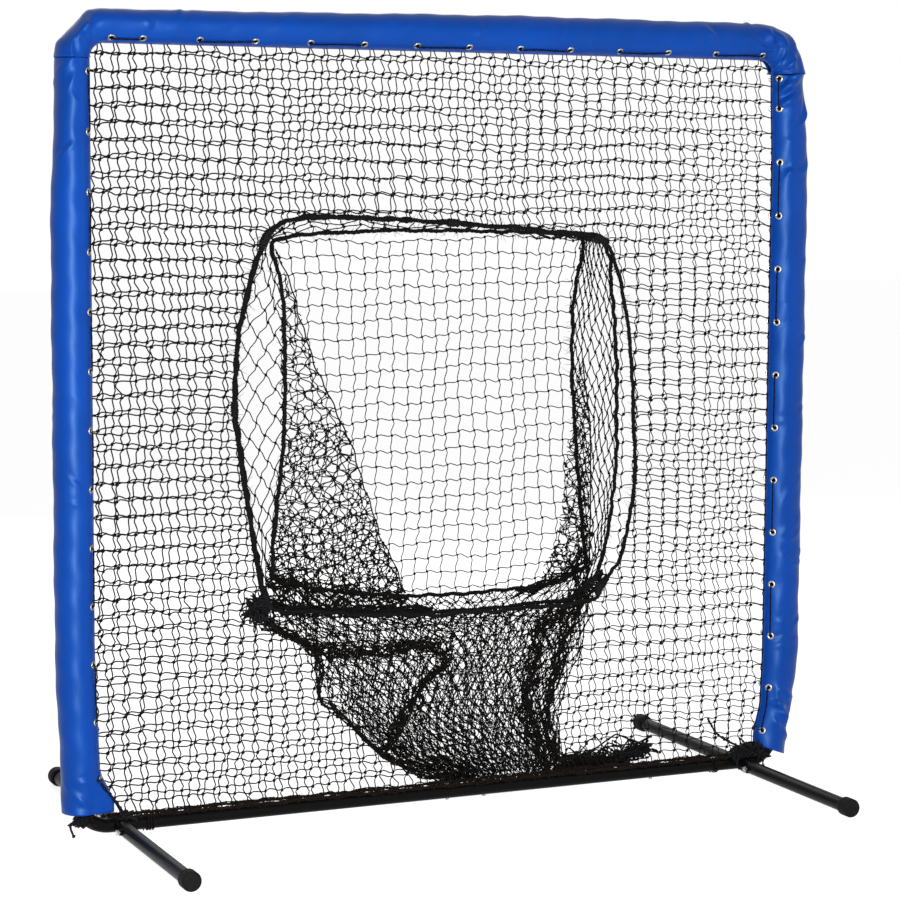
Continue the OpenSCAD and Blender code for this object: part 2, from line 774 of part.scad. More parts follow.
module sock_roof() {
    front = depth_points(mouth_back, rope_y);
    lift = [0, 0, wall_lift];
    sock_wall([for (p = part_of(front, 0, 5)) p + lift],
        [for (p = part_of(sock_back, 0, 5)) p + lift], [0, 0, sock_skin]);
}

// Plain grid of openings inside the panel's bound edge
module panel_openings(outline) {
    x0 = sock_back[17][0];
    x1 = sock_back[10][0];
    z0 = pocket_levels[0][0];
    z1 = sock_back[5][2];
    reach = 2 * sock_back[8][1];
    translate([0, reach, 0]) rotate([90, 0, 0]) linear_extrude(reach) difference() {
        polygon([for (i = [0 : len(outline) - 1]) inside_at(outline, i, panel_edge)]);
        for (k = [1 : panel_columns - 1])
            translate([lerp(x0, x1, k / panel_columns) - strand / 2, z0]) square([strand, z1 - z0]);
        for (k = [1 : panel_rows - 1])
            translate([x0, lerp(z0, z1, k / panel_rows) - strand / 2]) square([x1 - x0, strand]);
    }
}

module sock_back_panel() {
    back = [0, wall_clear + panel_clear, 0];
    low = pocket_levels[0];
    route = [sock_back[17], sock_back[18], sock_back[19], (sock_back[19] + sock_back[20]) / 2,
        sock_back[20], sock_back[0]];
    left = concat([[low[1], low[4] - sock_skin, low[0] + rope_gap]], [for (p = route) p + back]);
    right = concat([[low[2], low[5] - sock_skin, low[0] + rope_gap]],
        [for (i = [10 : -1 : 5]) sock_back[i] + back]);
    outline = concat([for (p = left) [p[0], p[2]]],
        [for (i = [len(right) - 1 : -1 : 0]) [right[i][0], right[i][2]]]);
    color("#1a1512") difference() {
        wall_between(left, right, [0, sock_skin, 0]);
        panel_openings(outline);
    }
}

// Ring of the pocket at one level, drawn in by a margin
function pocket_ring(level, inset) = [for (j = [0 : pocket_sides - 1]) let (
    a = -j * 360 / pocket_sides,
    u = sign(cos(a)) * pow(abs(cos(a)), pocket_round),
    v = sign(sin(a)) * pow(abs(sin(a)), pocket_round),
    x = lerp(level[1] + inset, level[2] - inset, (u + 1) / 2),
    t = (x - level[1]) / (level[2] - level[1]),
    back = lerp(level[4], level[5], t) - inset)
    [x, lerp(level[3] + inset, back, (v + 1) / 2), level[0]]];

module sock_pocket() {
    last = len(pocket_levels) - 1;
    inner = [for (i = [last : -1 : 0]) let (l = pocket_levels[i])
        pocket_ring(i == last ? [l[0] + sock_skin, l[1], l[2], l[3], l[4], l[5]] : l, sock_skin)];
    outer = [for (i = [0 : last]) pocket_ring(pocket_levels[i], 0)];
    color("#1a1512") loft(concat(inner, outer));
}

function tail_ring(i) = let (
    s = tail_stations[i],
    here = [s[0], s[1]],
    before = i == 0 ? here : [tail_stations[i - 1][0], tail_stations[i - 1][1]],
    after = i == len(tail_stations) - 1 ? here : [tail_stations[i + 1][0], tail_stations[i + 1][1]],
    d = i == 0 ? [1, 0] : unit(after - before),
    across = [-d[1], d[0]])
    [for (j = [0 : 11]) let (a = j * 30)
        [s[0] + across[0] * s[3] * cos(a), s[1] + across[1] * s[3] * cos(a), s[2] + s[4] * sin(a)]];

module sock_tail() {
    color("#1a1512") loft([for (i = [0 : len(tail_stations) - 1]) tail_ring(i)]);
}

// Border cords on the rail, one for each layer of netting
module net_border_cord() {
    color("#4a3524") for (side = [-1, 1])
        translate([0, side * border_y, 0]) along_x(-bend_x, bend_x, border_z, border_r);
}

// Turns of cord round the rail, the border cords and the foot of the netting
function lashing_radius(a) = let (
    flat_top = border_z - rail_z + border_r + lashing_gap,
    flat_side = net_y + strand + lashing_gap,
    round_r = tube_r + lashing_gap,
    to_top = flat_top / max(sin(a), lashing_steep),
    to_side = flat_side / max(abs(cos(a)), lashing_steep))
    sin(a) > 0 ? min(to_top, to_side) : round_r + (flat_side - round_r) * pow(cos(a), 8);

function lashing_route(x, turns) = [for (k = [0 : turns * lashing_steps]) let (
    a = k * 360 / lashing_steps - 90,
    r = lashing_radius(a) + lashing_r)
    [x + lashing_pitch * k / lashing_steps, r * cos(a), rail_z + r * sin(a)]];

module rail_lashing() {
    color("#4a3524") for (l = lashings) open_tube(lashing_route(l[0], l[1]), lashing_r, 6, [1, 0, 0]);
}

// Legs. Each is drawn towards +Y and mirrored for the front.
module at_leg(side, fore) {
    translate([side * leg_x, 0, rail_z]) mirror([0, fore < 0 ? 1 : 0, 0]) children();
}

module along_leg(y0, y1, r) {
    translate([0, y1, 0]) rotate([90, 0, 0]) cylinder(h = y1 - y0, r = r);
}

module leg() {
    color("#15161a") difference() {
        union() {
            along_leg(leg_start, leg_end, tube_r);
            translate([0, lock_y, 0]) rotate([0, -90, 0])
                cylinder(h = tube_r + lock_boss_h, d = lock_boss_d);
        }
        along_leg(leg_start - eps, leg_end + eps, tube_bore_r);
        translate([0, lock_y, 0]) rotate([0, -90, 0])
            cylinder(h = 2 * tube_od, r = lock_d / 2 + lock_gap);
    }
}

module leg_cap() {
    bore = tube_r + spigot_gap;
    open_y = leg_reach - cap_length;
    color("#26272b") intersection() {
        difference() {
            translate([0, open_y, 0]) rotate([-90, 0, 0]) rotate_extrude() cap_outline(bore);
            along_leg(open_y - eps, leg_reach - cap_end, bore);
        }
        translate([-cap_od, 0, -rail_z]) cube([2 * cap_od, 2 * leg_reach, 2 * cap_od]);
    }
}

// Half section of a cap, from the mouth to the rounded end
module cap_outline(bore) {
    polygon(concat([[0, 0], [bore + cap_neck_wall, 0], [cap_r, cap_taper]],
        [for (a = [0 : 15 : 90]) [cap_r - cap_round + cap_round * cos(a),
            cap_length - cap_round + cap_round * sin(a)]], [[0, cap_length]]));
}

module lock_bolt() {
    color("#b9bcc2") translate([0, lock_y, 0]) rotate([0, -90, 0]) {
        translate([0, 0, lock_tip]) cylinder(h = lock_head_from - lock_tip + eps, d = lock_d);
        translate([0, 0, lock_head_from]) cylinder(h = lock_head_h, d = lock_head_d, $fn = 6);
    }
}

upright(-1);  // upright_left
upright(1);  // upright_right
top_rail(-top_rail_end_x, 0);  // top_rail_left
top_rail(0, top_rail_end_x);  // top_rail_right
bottom_rail(-bottom_rail_end_x, rail_joint_x);  // bottom_rail_left
bottom_rail(rail_joint_x, bottom_rail_end_x);  // bottom_rail_right
corner_top();  // corner_top_left
mirror([1, 0, 0]) corner_top();  // corner_top_right
corner_bottom();  // corner_bottom_left
mirror([1, 0, 0]) corner_bottom();  // corner_bottom_right
sleeve(0, top_sleeve_half, top_height, [-top_bolt_offset, top_bolt_offset]);  // top_rail_sleeve
sleeve(rail_joint_x, rail_sleeve_half, rail_z, sleeve_bolt_x);  // bottom_rail_sleeve
color("#9da0a6") at_frame_bolts() frame_bolt();  // frame_bolts
color("#9da0a6") at_frame_bolts() frame_nut();  // frame_nuts
on_left() foam(bend_low_z + foam_gap, bend_high_z - foam_gap, upright_bolt_z);  // foam_left
on_right() foam(bend_low_z + foam_gap, bend_high_z - foam_gap, upright_bolt_z);  // foam_right
on_top() foam(-bend_x + foam_gap, bend_x - foam_gap, top_bolt_x);  // foam_top
cover_left();
cover_top();
cover_right();
on_left() grommets(left_grommets);  // grommets_left
on_top() grommets(top_grommets);  // grommets_top
on_right() grommets(right_grommets);  // grommets_right
on_left() lacing(left_grommets);  // lacing_left
on_top() lacing(top_grommets);  // lacing_top
on_right() lacing(right_grommets);  // lacing_right
net_top(-1, mouth_front);  // front_net_top
net_bottom(-1, mouth_front);  // front_net_bottom
net_left(-1, mouth_front);  // front_net_left
net_right(-1, mouth_front);  // front_net_right
net_top(1, mouth_back);  // back_net_top
net_bottom(1, mouth_back);  // back_net_bottom
net_left(1, mouth_back);  // back_net_left
net_right(1, mouth_back);  // back_net_right
mouth_rope(mouth_front, -rope_y);  // mouth_rope_front
mouth_rope(mouth_back, rope_y);  // mouth_rope_back
sock_rope();
rope_ties();
sock_back_panel();
sock_left_wall();
sock_right_wall();
sock_roof();
sock_pocket();
sock_tail();
net_border_cord();
rail_lashing();
at_leg(-1, -1) leg();  // leg_front_left
at_leg(1, -1) leg();  // leg_front_right
at_leg(-1, 1) leg();  // leg_back_left
at_leg(1, 1) leg();  // leg_back_right
at_leg(-1, -1) leg_cap();  // leg_cap_front_left
at_leg(1, -1) leg_cap();  // leg_cap_front_right
at_leg(-1, 1) leg_cap();  // leg_cap_back_left
at_leg(1, 1) leg_cap();  // leg_cap_back_right
at_leg(-1, -1) lock_bolt();  // leg_lock_bolt_front_left
at_leg(1, -1) lock_bolt();  // leg_lock_bolt_front_right
at_leg(-1, 1) lock_bolt();  // leg_lock_bolt_back_left
at_leg(1, 1) lock_bolt();  // leg_lock_bolt_back_right
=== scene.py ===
import json
import math
from contextlib import contextmanager

import bpy
import numpy as np
from bpy.props import FloatProperty, FloatVectorProperty, IntProperty, PointerProperty
from mathutils import Matrix, Vector


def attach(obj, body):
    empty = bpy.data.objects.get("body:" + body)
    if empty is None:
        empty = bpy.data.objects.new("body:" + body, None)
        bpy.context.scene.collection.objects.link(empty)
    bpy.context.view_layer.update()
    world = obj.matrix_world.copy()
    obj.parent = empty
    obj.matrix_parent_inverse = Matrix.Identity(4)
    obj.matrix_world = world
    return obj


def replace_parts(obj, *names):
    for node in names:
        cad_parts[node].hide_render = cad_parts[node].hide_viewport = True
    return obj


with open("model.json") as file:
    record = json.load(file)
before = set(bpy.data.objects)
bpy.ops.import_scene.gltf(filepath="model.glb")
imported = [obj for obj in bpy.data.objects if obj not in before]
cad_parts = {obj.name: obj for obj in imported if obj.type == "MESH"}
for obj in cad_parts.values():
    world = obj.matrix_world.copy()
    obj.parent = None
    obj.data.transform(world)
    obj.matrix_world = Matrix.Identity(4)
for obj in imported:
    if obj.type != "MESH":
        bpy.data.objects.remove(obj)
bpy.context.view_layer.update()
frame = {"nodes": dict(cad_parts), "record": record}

bl_info = {
    "name": "Pitching Target Net",
    "version": (1, 0, 0),
    "blender": (4, 5, 0),
    "location": "View3D > Sidebar > Target Net",
    "description": "Padded tube frame with two layers of netting, a roped mouth and a net sock",
    "category": "Add Mesh",
}

BODY = "frame"

# Sizes that the frame fixes, in metres
HALF_WIDTH = 1.055
TOP_Z = 2.11
RAIL_Z = 0.025
BEND = 0.09
BEND_X = HALF_WIDTH - BEND
BEND_Z = TOP_Z - BEND
TUBE_R = 0.01905
PAD_R = 0.05
FLAP_ANGLE = math.radians(60.0)
# The flap's section bends from the round of the pad through its second point to its edge, beside
# the netting
FLAP = np.array((
    (PAD_R * math.cos(FLAP_ANGLE), PAD_R * math.sin(FLAP_ANGLE)), (0.0455, 0.0310),
    (0.0505, 0.0085)))
# Length of a corner and of the straight between the corners, along the top pad
CORNER_RUN = BEND * math.pi / 2
TOP_RUN = 2 * BEND_X
# Spacing of the grommets, how far across the flap they sit, and the radius of their holes
GROMMET_PITCH = 0.1524
GROMMET_REACH = 0.42
HOLE_R = 0.0068
# Step between the sections of a cover
COVER_STEP = 0.0050
# Half the opening of the foam's slit, and the points along one side of its section
FOAM_SLIT = math.radians(62)
FOAM_SIDES = 30
ROPE_Y = 0.02875
NET_Y = 0.02065
NET_LOW_Z = 0.0445
# Where the lacing catches the netting: distance from the tube's centre line and from the middle
EDGE = 0.037
EDGE_Y = 0.0042
# Place of the border cords beside the middle plane, and their diameter
BORDER_Y = 0.01505
BORDER_Z = 0.04605
BORDER_D = 0.0078
# Lashings of the rail: where each starts and its turns, then the cord's radius, the step of a turn
# along the rail and the points in a turn
LASHINGS = ((-0.872, 3), (0.846, 2))
LASHING_R = 0.002
LASHING_PITCH = 0.008
LASHING_STEPS = 24
# Lowest that the soft pieces come
FLOOR_GAP = 0.0004
# Direction from which the frames along a path start
FIRST_SIDE = (0.0, 1.0, 0.0)

# Camera: lens in mm, then yaw, pitch and roll in degrees, and its place
CAMERA_LENS = 103.7024
CAMERA_TURN = (24.1953, 6.1342, 0.3473)
CAMERA_PLACE = (-2.88725, -6.44592, 1.73867)
# Lamps: name, place, aim, size and power in watts
LAMPS = (
    ("Key lamp", (-3.4, -5.4, 3.6), (0, 0, 1.1), (1.2, 1.4), 20.0),
    ("Strip lamp", (-2.0, -5.2, 1.25), (0, 0, 1.0), (0.75, 1.7), 315.0),
    ("Fill lamp", (4.2, -3.4, 2.4), (0, 0, 1.0), (1.8, 3.0), 20.0),
    ("Back lamp", (0.5, 4.5, 3.4), (0, 0, 1.0), (3.0, 2.0), 60.0))
WHITE = (1.0, 1.0, 1.0, 1.0)
# Glow of the floor for the camera, and strength of the world for all other rays
FLOOR_GLOW = 0.84
WORLD_FILL = 0.13

# Creases of each pad: place, reach along it, depth, lean and number
CREASES = {
    "left": [(0.13, 0.05, 0.0034, 0.5, 8), (1.97, 0.05, 0.0036, -0.6, 8),
             (1.80, 0.05, 0.0024, -0.5, 4), (1.0, 0.9, 0.0014, 0.3, 14)],
    "right": [(0.17, 0.06, 0.0060, -0.5, 18), (0.42, 0.05, 0.0030, 0.4, 5),
              (0.68, 0.05, 0.0026, 0.4, 4), (1.95, 0.06, 0.0060, 0.5, 14),
              (1.76, 0.05, 0.0036, 0.4, 5), (1.1, 0.8, 0.0020, 0.3, 22)],
    "top": [(0.07, 0.05, 0.0040, 0.6, 9), (2.13, 0.10, 0.0060, -0.45, 20),
            (1.95, 0.05, 0.0046, -0.35, 6), (0.33, 0.05, 0.0040, 0.3, 6),
            (0.58, 0.05, 0.0026, 0.3, 4), (1.1, 0.9, 0.0016, 0.2, 16)]}
# Tape bands on the front rope: x and z in mm, and the points of the rope covered either way
TAPE_BANDS = (
    (1, 1602, 4), (-624, 1115, 5), (-528, 1557, 5), (452, 1548, 5), (462, 572, 4), (-536, 596, 5))
# Tangles of cord at the mouth and at the rail's ends: place and size in metres, and loops
MOUTH_TANGLES = (((-0.562, -0.032, 0.592), 0.022, 14), ((-0.566, -0.030, 0.568), 0.026, 20))
RAIL_TANGLES = (
    ((0.955, -0.018, 0.064), 0.021, 24), ((0.992, -0.016, 0.060), 0.020, 20),
    ((0.925, -0.022, 0.054), 0.018, 14), ((1.012, -0.014, 0.044), 0.014, 10),
    ((-1.045, -0.016, 0.050), 0.018, 14), ((-0.93, -0.022, 0.050), 0.014, 8))
# Loose cords at the rail's ends, in mm
LOOSE_CORDS = (
    ((810, -44, 172), (850, -44, 118), (928, -40, 78)),
    ((925, -30, 60), (900, -62, 30), (930, -78, 12), (985, -60, 14), (1000, -36, 40)),
    ((-1004, -40, 157), (-968, -36, 108), (-925, -24, 52), (-900, -26, 40)),
    ((-1050, -18, 50), (-1080, -26, 44), (-1072, -34, 14)))

# Routes of the ropes as (x, z) round the mouth and (x, y, z) round the back of the sock, in mm
MOUTH_FRONT = [
    (-540, 1560), (-440, 1615), (-210, 1612), (5, 1600), (235, 1582), (452, 1555), (515, 1430),
    (542, 1300), (560, 1100), (565, 850), (522, 650), (460, 575), (415, 538), (-45, 530),
    (-440, 565), (-538, 598), (-592, 870), (-625, 1110), (-612, 1320)]
MOUTH_BACK = [
    (-515, 1556), (-415, 1612), (-185, 1610), (30, 1598), (260, 1580), (486, 1542), (515, 1420),
    (530, 1300), (538, 1106), (536, 880), (500, 652), (450, 570), (400, 538), (-20, 527),
    (-415, 563), (-515, 596), (-567, 870), (-600, 1110), (-588, 1320)]
SOCK_BACK = [
    (-480, 75, 1545), (-392, 90, 1566), (-150, 130, 1576), (100, 170, 1574), (330, 200, 1568),
    (515, 215, 1552), (512, 250, 1404), (512, 262, 1300), (515, 265, 1172), (530, 255, 911),
    (538, 235, 700), (538, 215, 600), (404, 190, 556), (170, 155, 552), (-25, 130, 558),
    (-230, 108, 580), (-392, 92, 614), (-478, 82, 662), (-444, 90, 987), (-438, 92, 1180),
    (-450, 86, 1420)]
# Pocket: heights with the left end, right end, front, and back at the left and right ends, in mm
POCKET = [
    (520, -470, 500, 32, 97, 218), (450, -400, 505, 48, 105, 222), (360, -350, 480, 60, 125, 225),
    (250, -280, 425, 70, 140, 225), (190, -235, 420, 75, 150, 222), (90, -115, 430, 80, 155, 215),
    (40, 10, 432, 95, 165, 205), (8, 60, 415, 110, 170, 195)]
# Tail: centre, half width and half height of each section, in mm
TAIL = [
    (432.3, 152, 30, 38, 17), (470, 164, 26, 48, 16), (530, 172, 21, 52, 13),
    (600, 186, 18, 50, 11), (680, 224, 16, 46, 9), (750, 270, 14, 42, 8), (805, 312, 12, 34, 6)]


def colour_property(name, description, default):
    return FloatVectorProperty(
        name=name, description=description, subtype="COLOR", size=3, min=0.0, max=1.0,
        default=default)


def length_property(name, description, low, default, high):
    return FloatProperty(
        name=name, description=description, unit="LENGTH", min=low, max=high, default=default)


class NetColours(bpy.types.PropertyGroup):
    """Colours of the finishes"""
    vinyl: colour_property("Vinyl", "Colour of the pad covers", (0.0004, 0.047, 0.320))
    netting: colour_property("Netting", "Colour of the net twine", (0.0050, 0.0042, 0.0038))
    rope: colour_property("Rope", "Colour of the ropes", (0.0045, 0.0042, 0.0042))
    steel: colour_property("Powder coat", "Colour of the frame tubes", (0.0038, 0.0034, 0.0035))
    cord: colour_property(
        "Border cord", "Colour of the cord on the bottom rail", (0.013, 0.008, 0.006))


class NetSizes(bpy.types.PropertyGroup):
    """Sizes of the soft pieces"""
    mesh: length_property("Mesh", "Side of one mesh of the netting", 0.03, 0.04445, 0.08)
    twine: length_property("Twine", "Diameter of the net twine", 0.001, 0.0036, 0.005)
    rope: length_property("Rope", "Diameter of the mouth ropes", 0.008, 0.013, 0.018)
    lacing: length_property("Lacing", "Diameter of the lacing cord", 0.002, 0.0046, 0.006)
    vinyl: length_property("Vinyl", "Thickness of the pad covers", 0.0005, 0.0012, 0.003)
    fibres: IntProperty(
        name="Stray fibres", description="Stray fibres on each metre of rope",
        min=0, max=400, default=130)


def sizes():
    return bpy.context.scene.net_sizes


def colours():
    return bpy.context.scene.net_colours


# Materials ---------------------------------------------------------------------------------------


class Finish:
    """A new material, with short ways to wire the nodes before its shader"""

    def __init__(self, name):
        self.material = bpy.data.materials.new(name)
        self.material.use_nodes = True
        self.nodes, self.links = self.material.node_tree.nodes, self.material.node_tree.links
        self.shader = self.nodes["Principled BSDF"]
        self.coords = self.nodes.new("ShaderNodeTexCoord").outputs["Object"]

    def set(self, name, value):
        self.shader.inputs[name].default_value = value

    def node(self, kind, source, into, **values):
        """Node with a socket linked into one of its inputs and values set on the others"""
        node = self.nodes.new("ShaderNode" + kind)
        for name, value in values.items():
            node.inputs[name.replace("_", " ")].default_value = value
        self.links.new(source, node.inputs[into])
        return node

    def noise(self, scale, detail=3.0, rough=0.55, stretch=None):
        """Noise texture, stretched along an axis where stretch is given"""
        coords = self.coords
        if stretch:
            coords = self.node("Mapping", coords, "Vector", Scale=stretch).outputs["Vector"]
        node = self.node("TexNoise", coords, "Vector", Scale=scale, Detail=detail, Roughness=rough)
        return node.outputs["Fac"]

    def cells(self, scale):
        """Distance from the middle of small cells"""
        return self.node("TexVoronoi", self.coords, "Vector", Scale=scale).outputs["Distance"]

    def colour(self, fac, *stops):
        """Base colour from a ramp of (position, colour) stops"""
        node = self.node("ValToRGB", fac, "Fac")
        elements = node.color_ramp.elements
        while len(elements) < len(stops):
            elements.new(0.5)
        for element, (place, colour) in zip(elements, stops):
            element.position = place
            element.color = (*colour, 1.0)
        self.links.new(node.outputs["Color"], self.shader.inputs["Base Color"])

    def roughness(self, fac, low, high):
        node = self.node("MapRange", fac, "Value", To_Min=low, To_Max=high)
        self.links.new(node.outputs["Result"], self.shader.inputs["Roughness"])

    def bumps(self, *heights):
        """Chain of bumps from (height socket, strength, distance) into the shader"""
        normal = None
        for socket, strength, distance in heights:
            node = self.node("Bump", socket, "Height", Strength=strength, Distance=distance)
            if normal:
                self.links.new(normal, node.inputs["Normal"])
            normal = node.outputs["Normal"]
        self.links.new(normal, self.shader.inputs["Normal"])


def shade(colour, factor):
    """The colour made darker or lighter"""
    return tuple(min(1.0, c * factor) for c in colour)


def vinyl_material():
    """Coated cloth: faint clouds of colour, scuffs, soft dents and a fine weave"""
    finish = Finish("Coated vinyl")
    base = tuple(colours().vinyl)
    finish.colour(finish.noise(6.0, 4.0),
                  (0.30, shade(base, 0.86)), (0.55, base), (0.78, shade(base, 1.12)))
    scuffs = finish.noise(45.0, 5.0, 0.7)
    finish.roughness(scuffs, 0.36, 0.48)
    finish.bumps((finish.noise(22.0), 0.10, 0.003), (scuffs, 0.05, 0.0006),
                 (finish.cells(900.0), 0.04, 0.0003))
    finish.set("Specular IOR Level", 0.40)
    finish.set("Specular Tint", (0.34, 0.66, 1.0, 1.0))
    return finish.material


def twine_material(name, base, light, rough=0.82, scale=420.0):
    """Twisted fibre: mottled colour, fine bump and a little sheen"""
    finish = Finish(name)
    fine = finish.noise(scale, 4.0, 0.7)
    finish.colour(fine, (0.25, shade(base, 0.55)), (0.55, base), (0.85, shade(base, light)))
    finish.roughness(fine, rough - 0.08, rough + 0.1)
    finish.bumps((finish.noise(scale / 3.0, 2.0), 0.35, 0.0008), (fine, 0.5, 0.0004))
    finish.set("Specular IOR Level", 0.1)
    return finish.material


def powder_coat_material():
    """Dark coat with worn patches and a fine orange peel"""
    finish = Finish("Powder coat")
    base = tuple(colours().steel)
    wear = finish.noise(28.0, 6.0, 0.7)
    finish.colour(wear, (0.35, shade(base, 0.8)), (0.62, base), (0.80, shade(base, 2.6)))
    finish.roughness(wear, 0.24, 0.40)
    finish.bumps((finish.noise(650.0, 2.0), 0.12, 0.0003), (wear, 0.06, 0.001))
    finish.set("Specular IOR Level", 0.06)
    return finish.material


def plated_material(name, low, high, rough, grain):
    """Plated metal with cloudy colour and fine drag marks"""
    finish = Finish(name)
    cloud = finish.noise(90.0, 5.0, 0.65)
    finish.colour(cloud, (0.3, low), (0.7, high))
    finish.roughness(cloud, rough - 0.06, rough + 0.1)
    finish.bumps((finish.noise(grain, 3.0, 0.6, (1.0, 1.0, 9.0)), 0.12, 0.0003))
    finish.set("Metallic", 1.0)
    return finish.material


def shared(name, make, *values):
    """A finish that pieces of several steps share"""
    return bpy.data.materials.get(name) or make(name, *values)


def nickel_finish():
    return shared(
        "Nickel plate", plated_material, (0.30, 0.28, 0.22), (0.62, 0.60, 0.52), 0.26, 400.0)


def rubber_material():
    """Moulded rubber with dust on it"""
    finish = Finish("Moulded rubber")
    dust = finish.noise(70.0, 6.0, 0.75)
    finish.colour(dust, (0.3, (0.004, 0.004, 0.004)), (0.6, (0.008, 0.008, 0.008)),
                  (0.85, (0.028, 0.027, 0.027)))
    finish.roughness(dust, 0.55, 0.8)
    finish.bumps((finish.noise(900.0, 2.0), 0.3, 0.0003), (dust, 0.1, 0.001))
    finish.set("Specular IOR Level", 0.08)
    return finish.material


def foam_material():
    """Dark foam with closed cells"""
    finish = Finish("Closed-cell foam")
    cells = finish.cells(600.0)
    finish.colour(cells, (0.1, (0.030, 0.030, 0.033)), (0.7, (0.012, 0.012, 0.013)))
    finish.bumps((cells, 0.5, 0.0006))
    finish.set("Roughness", 0.92)
    return finish.material


# Mesh code ---------------------------------------------------------------------------------------

class Build:
    """Collects vertices and faces and makes one mesh object at the origin from them"""

    def __init__(self):
        self.verts, self.faces, self.count = [], [], 0

    def add(self, verts, faces):
        verts = np.asarray(verts, dtype=float).reshape(-1, 3)
        for block in faces:
            block = np.asarray(block)
            if len(block):
                self.faces.append(block + self.count)
        self.verts.append(verts)
        self.count += len(verts)

    def finish(self, name, material, slot):
        """Makes the object, smooth and just above the floor"""
        mesh = bpy.data.meshes.new(name)
        faces = [face for block in self.faces for face in block.tolist()]
        verts = np.concatenate(self.verts)
        verts[:, 2] = np.maximum(verts[:, 2], FLOOR_GAP)
        mesh.from_pydata(verts.tolist(), [], faces)
        mesh.materials.append(material)
        mesh.validate()
        mesh.polygons.foreach_set("use_smooth", [True] * len(mesh.polygons))
        obj = bpy.data.objects.new(name, mesh)
        bpy.context.scene.collection.objects.link(obj)
        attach(obj, BODY)
        return obj


def unit(v):
    return v / np.maximum(np.linalg.norm(v, axis=-1, keepdims=True), 1e-12)


def ring_faces(rings, sides, closed):
    """Quads between rings of as many points, outward for a ring that turns about the path"""
    count = rings if closed else rings - 1
    i = np.arange(count)[:, None]
    j = np.arange(sides)[None, :]
    k = (i + 1) % rings
    n = (j + 1) % sides
    quads = np.stack([i * sides + j, i * sides + n, k * sides + n, k * sides + j], -1)
    return quads.reshape(-1, 4)


def moving_frames(path, closed, start=FIRST_SIDE):
    """Two side directions at each point, free of twist"""
    ahead = np.roll(path, -1, 0) - path
    behind = path - np.roll(path, 1, 0)
    if not closed:
        ahead[-1], behind[0] = behind[-1], ahead[0]
    tangent = unit(unit(ahead) + unit(behind))
    current = np.array(start)
    if abs(current @ tangent[0]) > 0.95:
        current = np.array((1.0, 0.0, 0.0) if abs(tangent[0][0]) < 0.9 else (0.0, 0.0, 1.0))
    side = np.zeros_like(path)
    for i, t in enumerate(tangent):
        current = current - t * (current @ t)
        current = current / np.linalg.norm(current)
        side[i] = current
    return side, np.cross(tangent, side)


def beside(angle, e1, e2):
    """Directions at an angle about the path"""
    return np.cos(angle)[:, None] * e1 + np.sin(angle)[:, None] * e2


def nearest(path, place):
    """Index of the point of a path that lies nearest to a place"""
    return int(np.argmin(np.linalg.norm(path - place, axis=1)))


def distances(path):
    """Distance of each point from the start, along the path"""
    return np.concatenate([[0], np.cumsum(np.linalg.norm(np.diff(path, axis=0), axis=1))])


def points_at(places, far, path):
    """Points of a path at the given distances along it"""
    return np.stack([np.interp(places, far, path[:, k]) for k in range(3)], 1)


def add_tube(build, path, radius, sides, closed=False, start=FIRST_SIDE):
    """Round tube along a path, with flat ends unless it is closed"""
    path = np.asarray(path, dtype=float)
    radius = np.broadcast_to(np.asarray(radius, dtype=float), (len(path),))
    e1, e2 = moving_frames(path, closed, start)
    angle = np.arange(sides) * 2 * np.pi / sides
    ring = (np.cos(angle)[None, :, None] * e1[:, None]
            + np.sin(angle)[None, :, None] * e2[:, None])
    verts = path[:, None] + ring * radius[:, None, None]
    faces = [ring_faces(len(path), sides, closed)]
    if not closed:
        last = (len(path) - 1) * sides
        faces += [[list(range(sides - 1, -1, -1))], [list(range(last, last + sides))]]
    build.add(verts, faces)


ICO_T = (1 + 5 ** 0.5) / 2
ICO_VERTS = unit(np.array([
    (-1, ICO_T, 0), (1, ICO_T, 0), (-1, -ICO_T, 0), (1, -ICO_T, 0), (0, -1, ICO_T), (0, 1, ICO_T),
    (0, -1, -ICO_T), (0, 1, -ICO_T), (ICO_T, 0, -1), (ICO_T, 0, 1), (-ICO_T, 0, -1),
    (-ICO_T, 0, 1)], dtype=float))
ICO_FACES = np.array([
    (0, 11, 5), (0, 5, 1), (0, 1, 7), (0, 7, 10), (0, 10, 11), (1, 5, 9), (5, 11, 4), (11, 10, 2),
    (10, 7, 6), (7, 1, 8), (3, 9, 4), (3, 4, 2), (3, 2, 6), (3, 6, 8), (3, 8, 9), (4, 9, 5),
    (2, 4, 11), (6, 2, 10), (8, 6, 7), (9, 8, 1)])


def add_knots(build, places, size, rng):
    """One small lump of twine at each place"""
    if not len(places):
        return
    stretch = size * rng.uniform(0.8, 1.25, (len(places), 1, 3))
    verts = places[:, None] + ICO_VERTS[None] * stretch
    faces = (np.arange(len(places)) * 12)[:, None, None] + ICO_FACES[None]
    build.add(verts, [faces.reshape(-1, 3)])


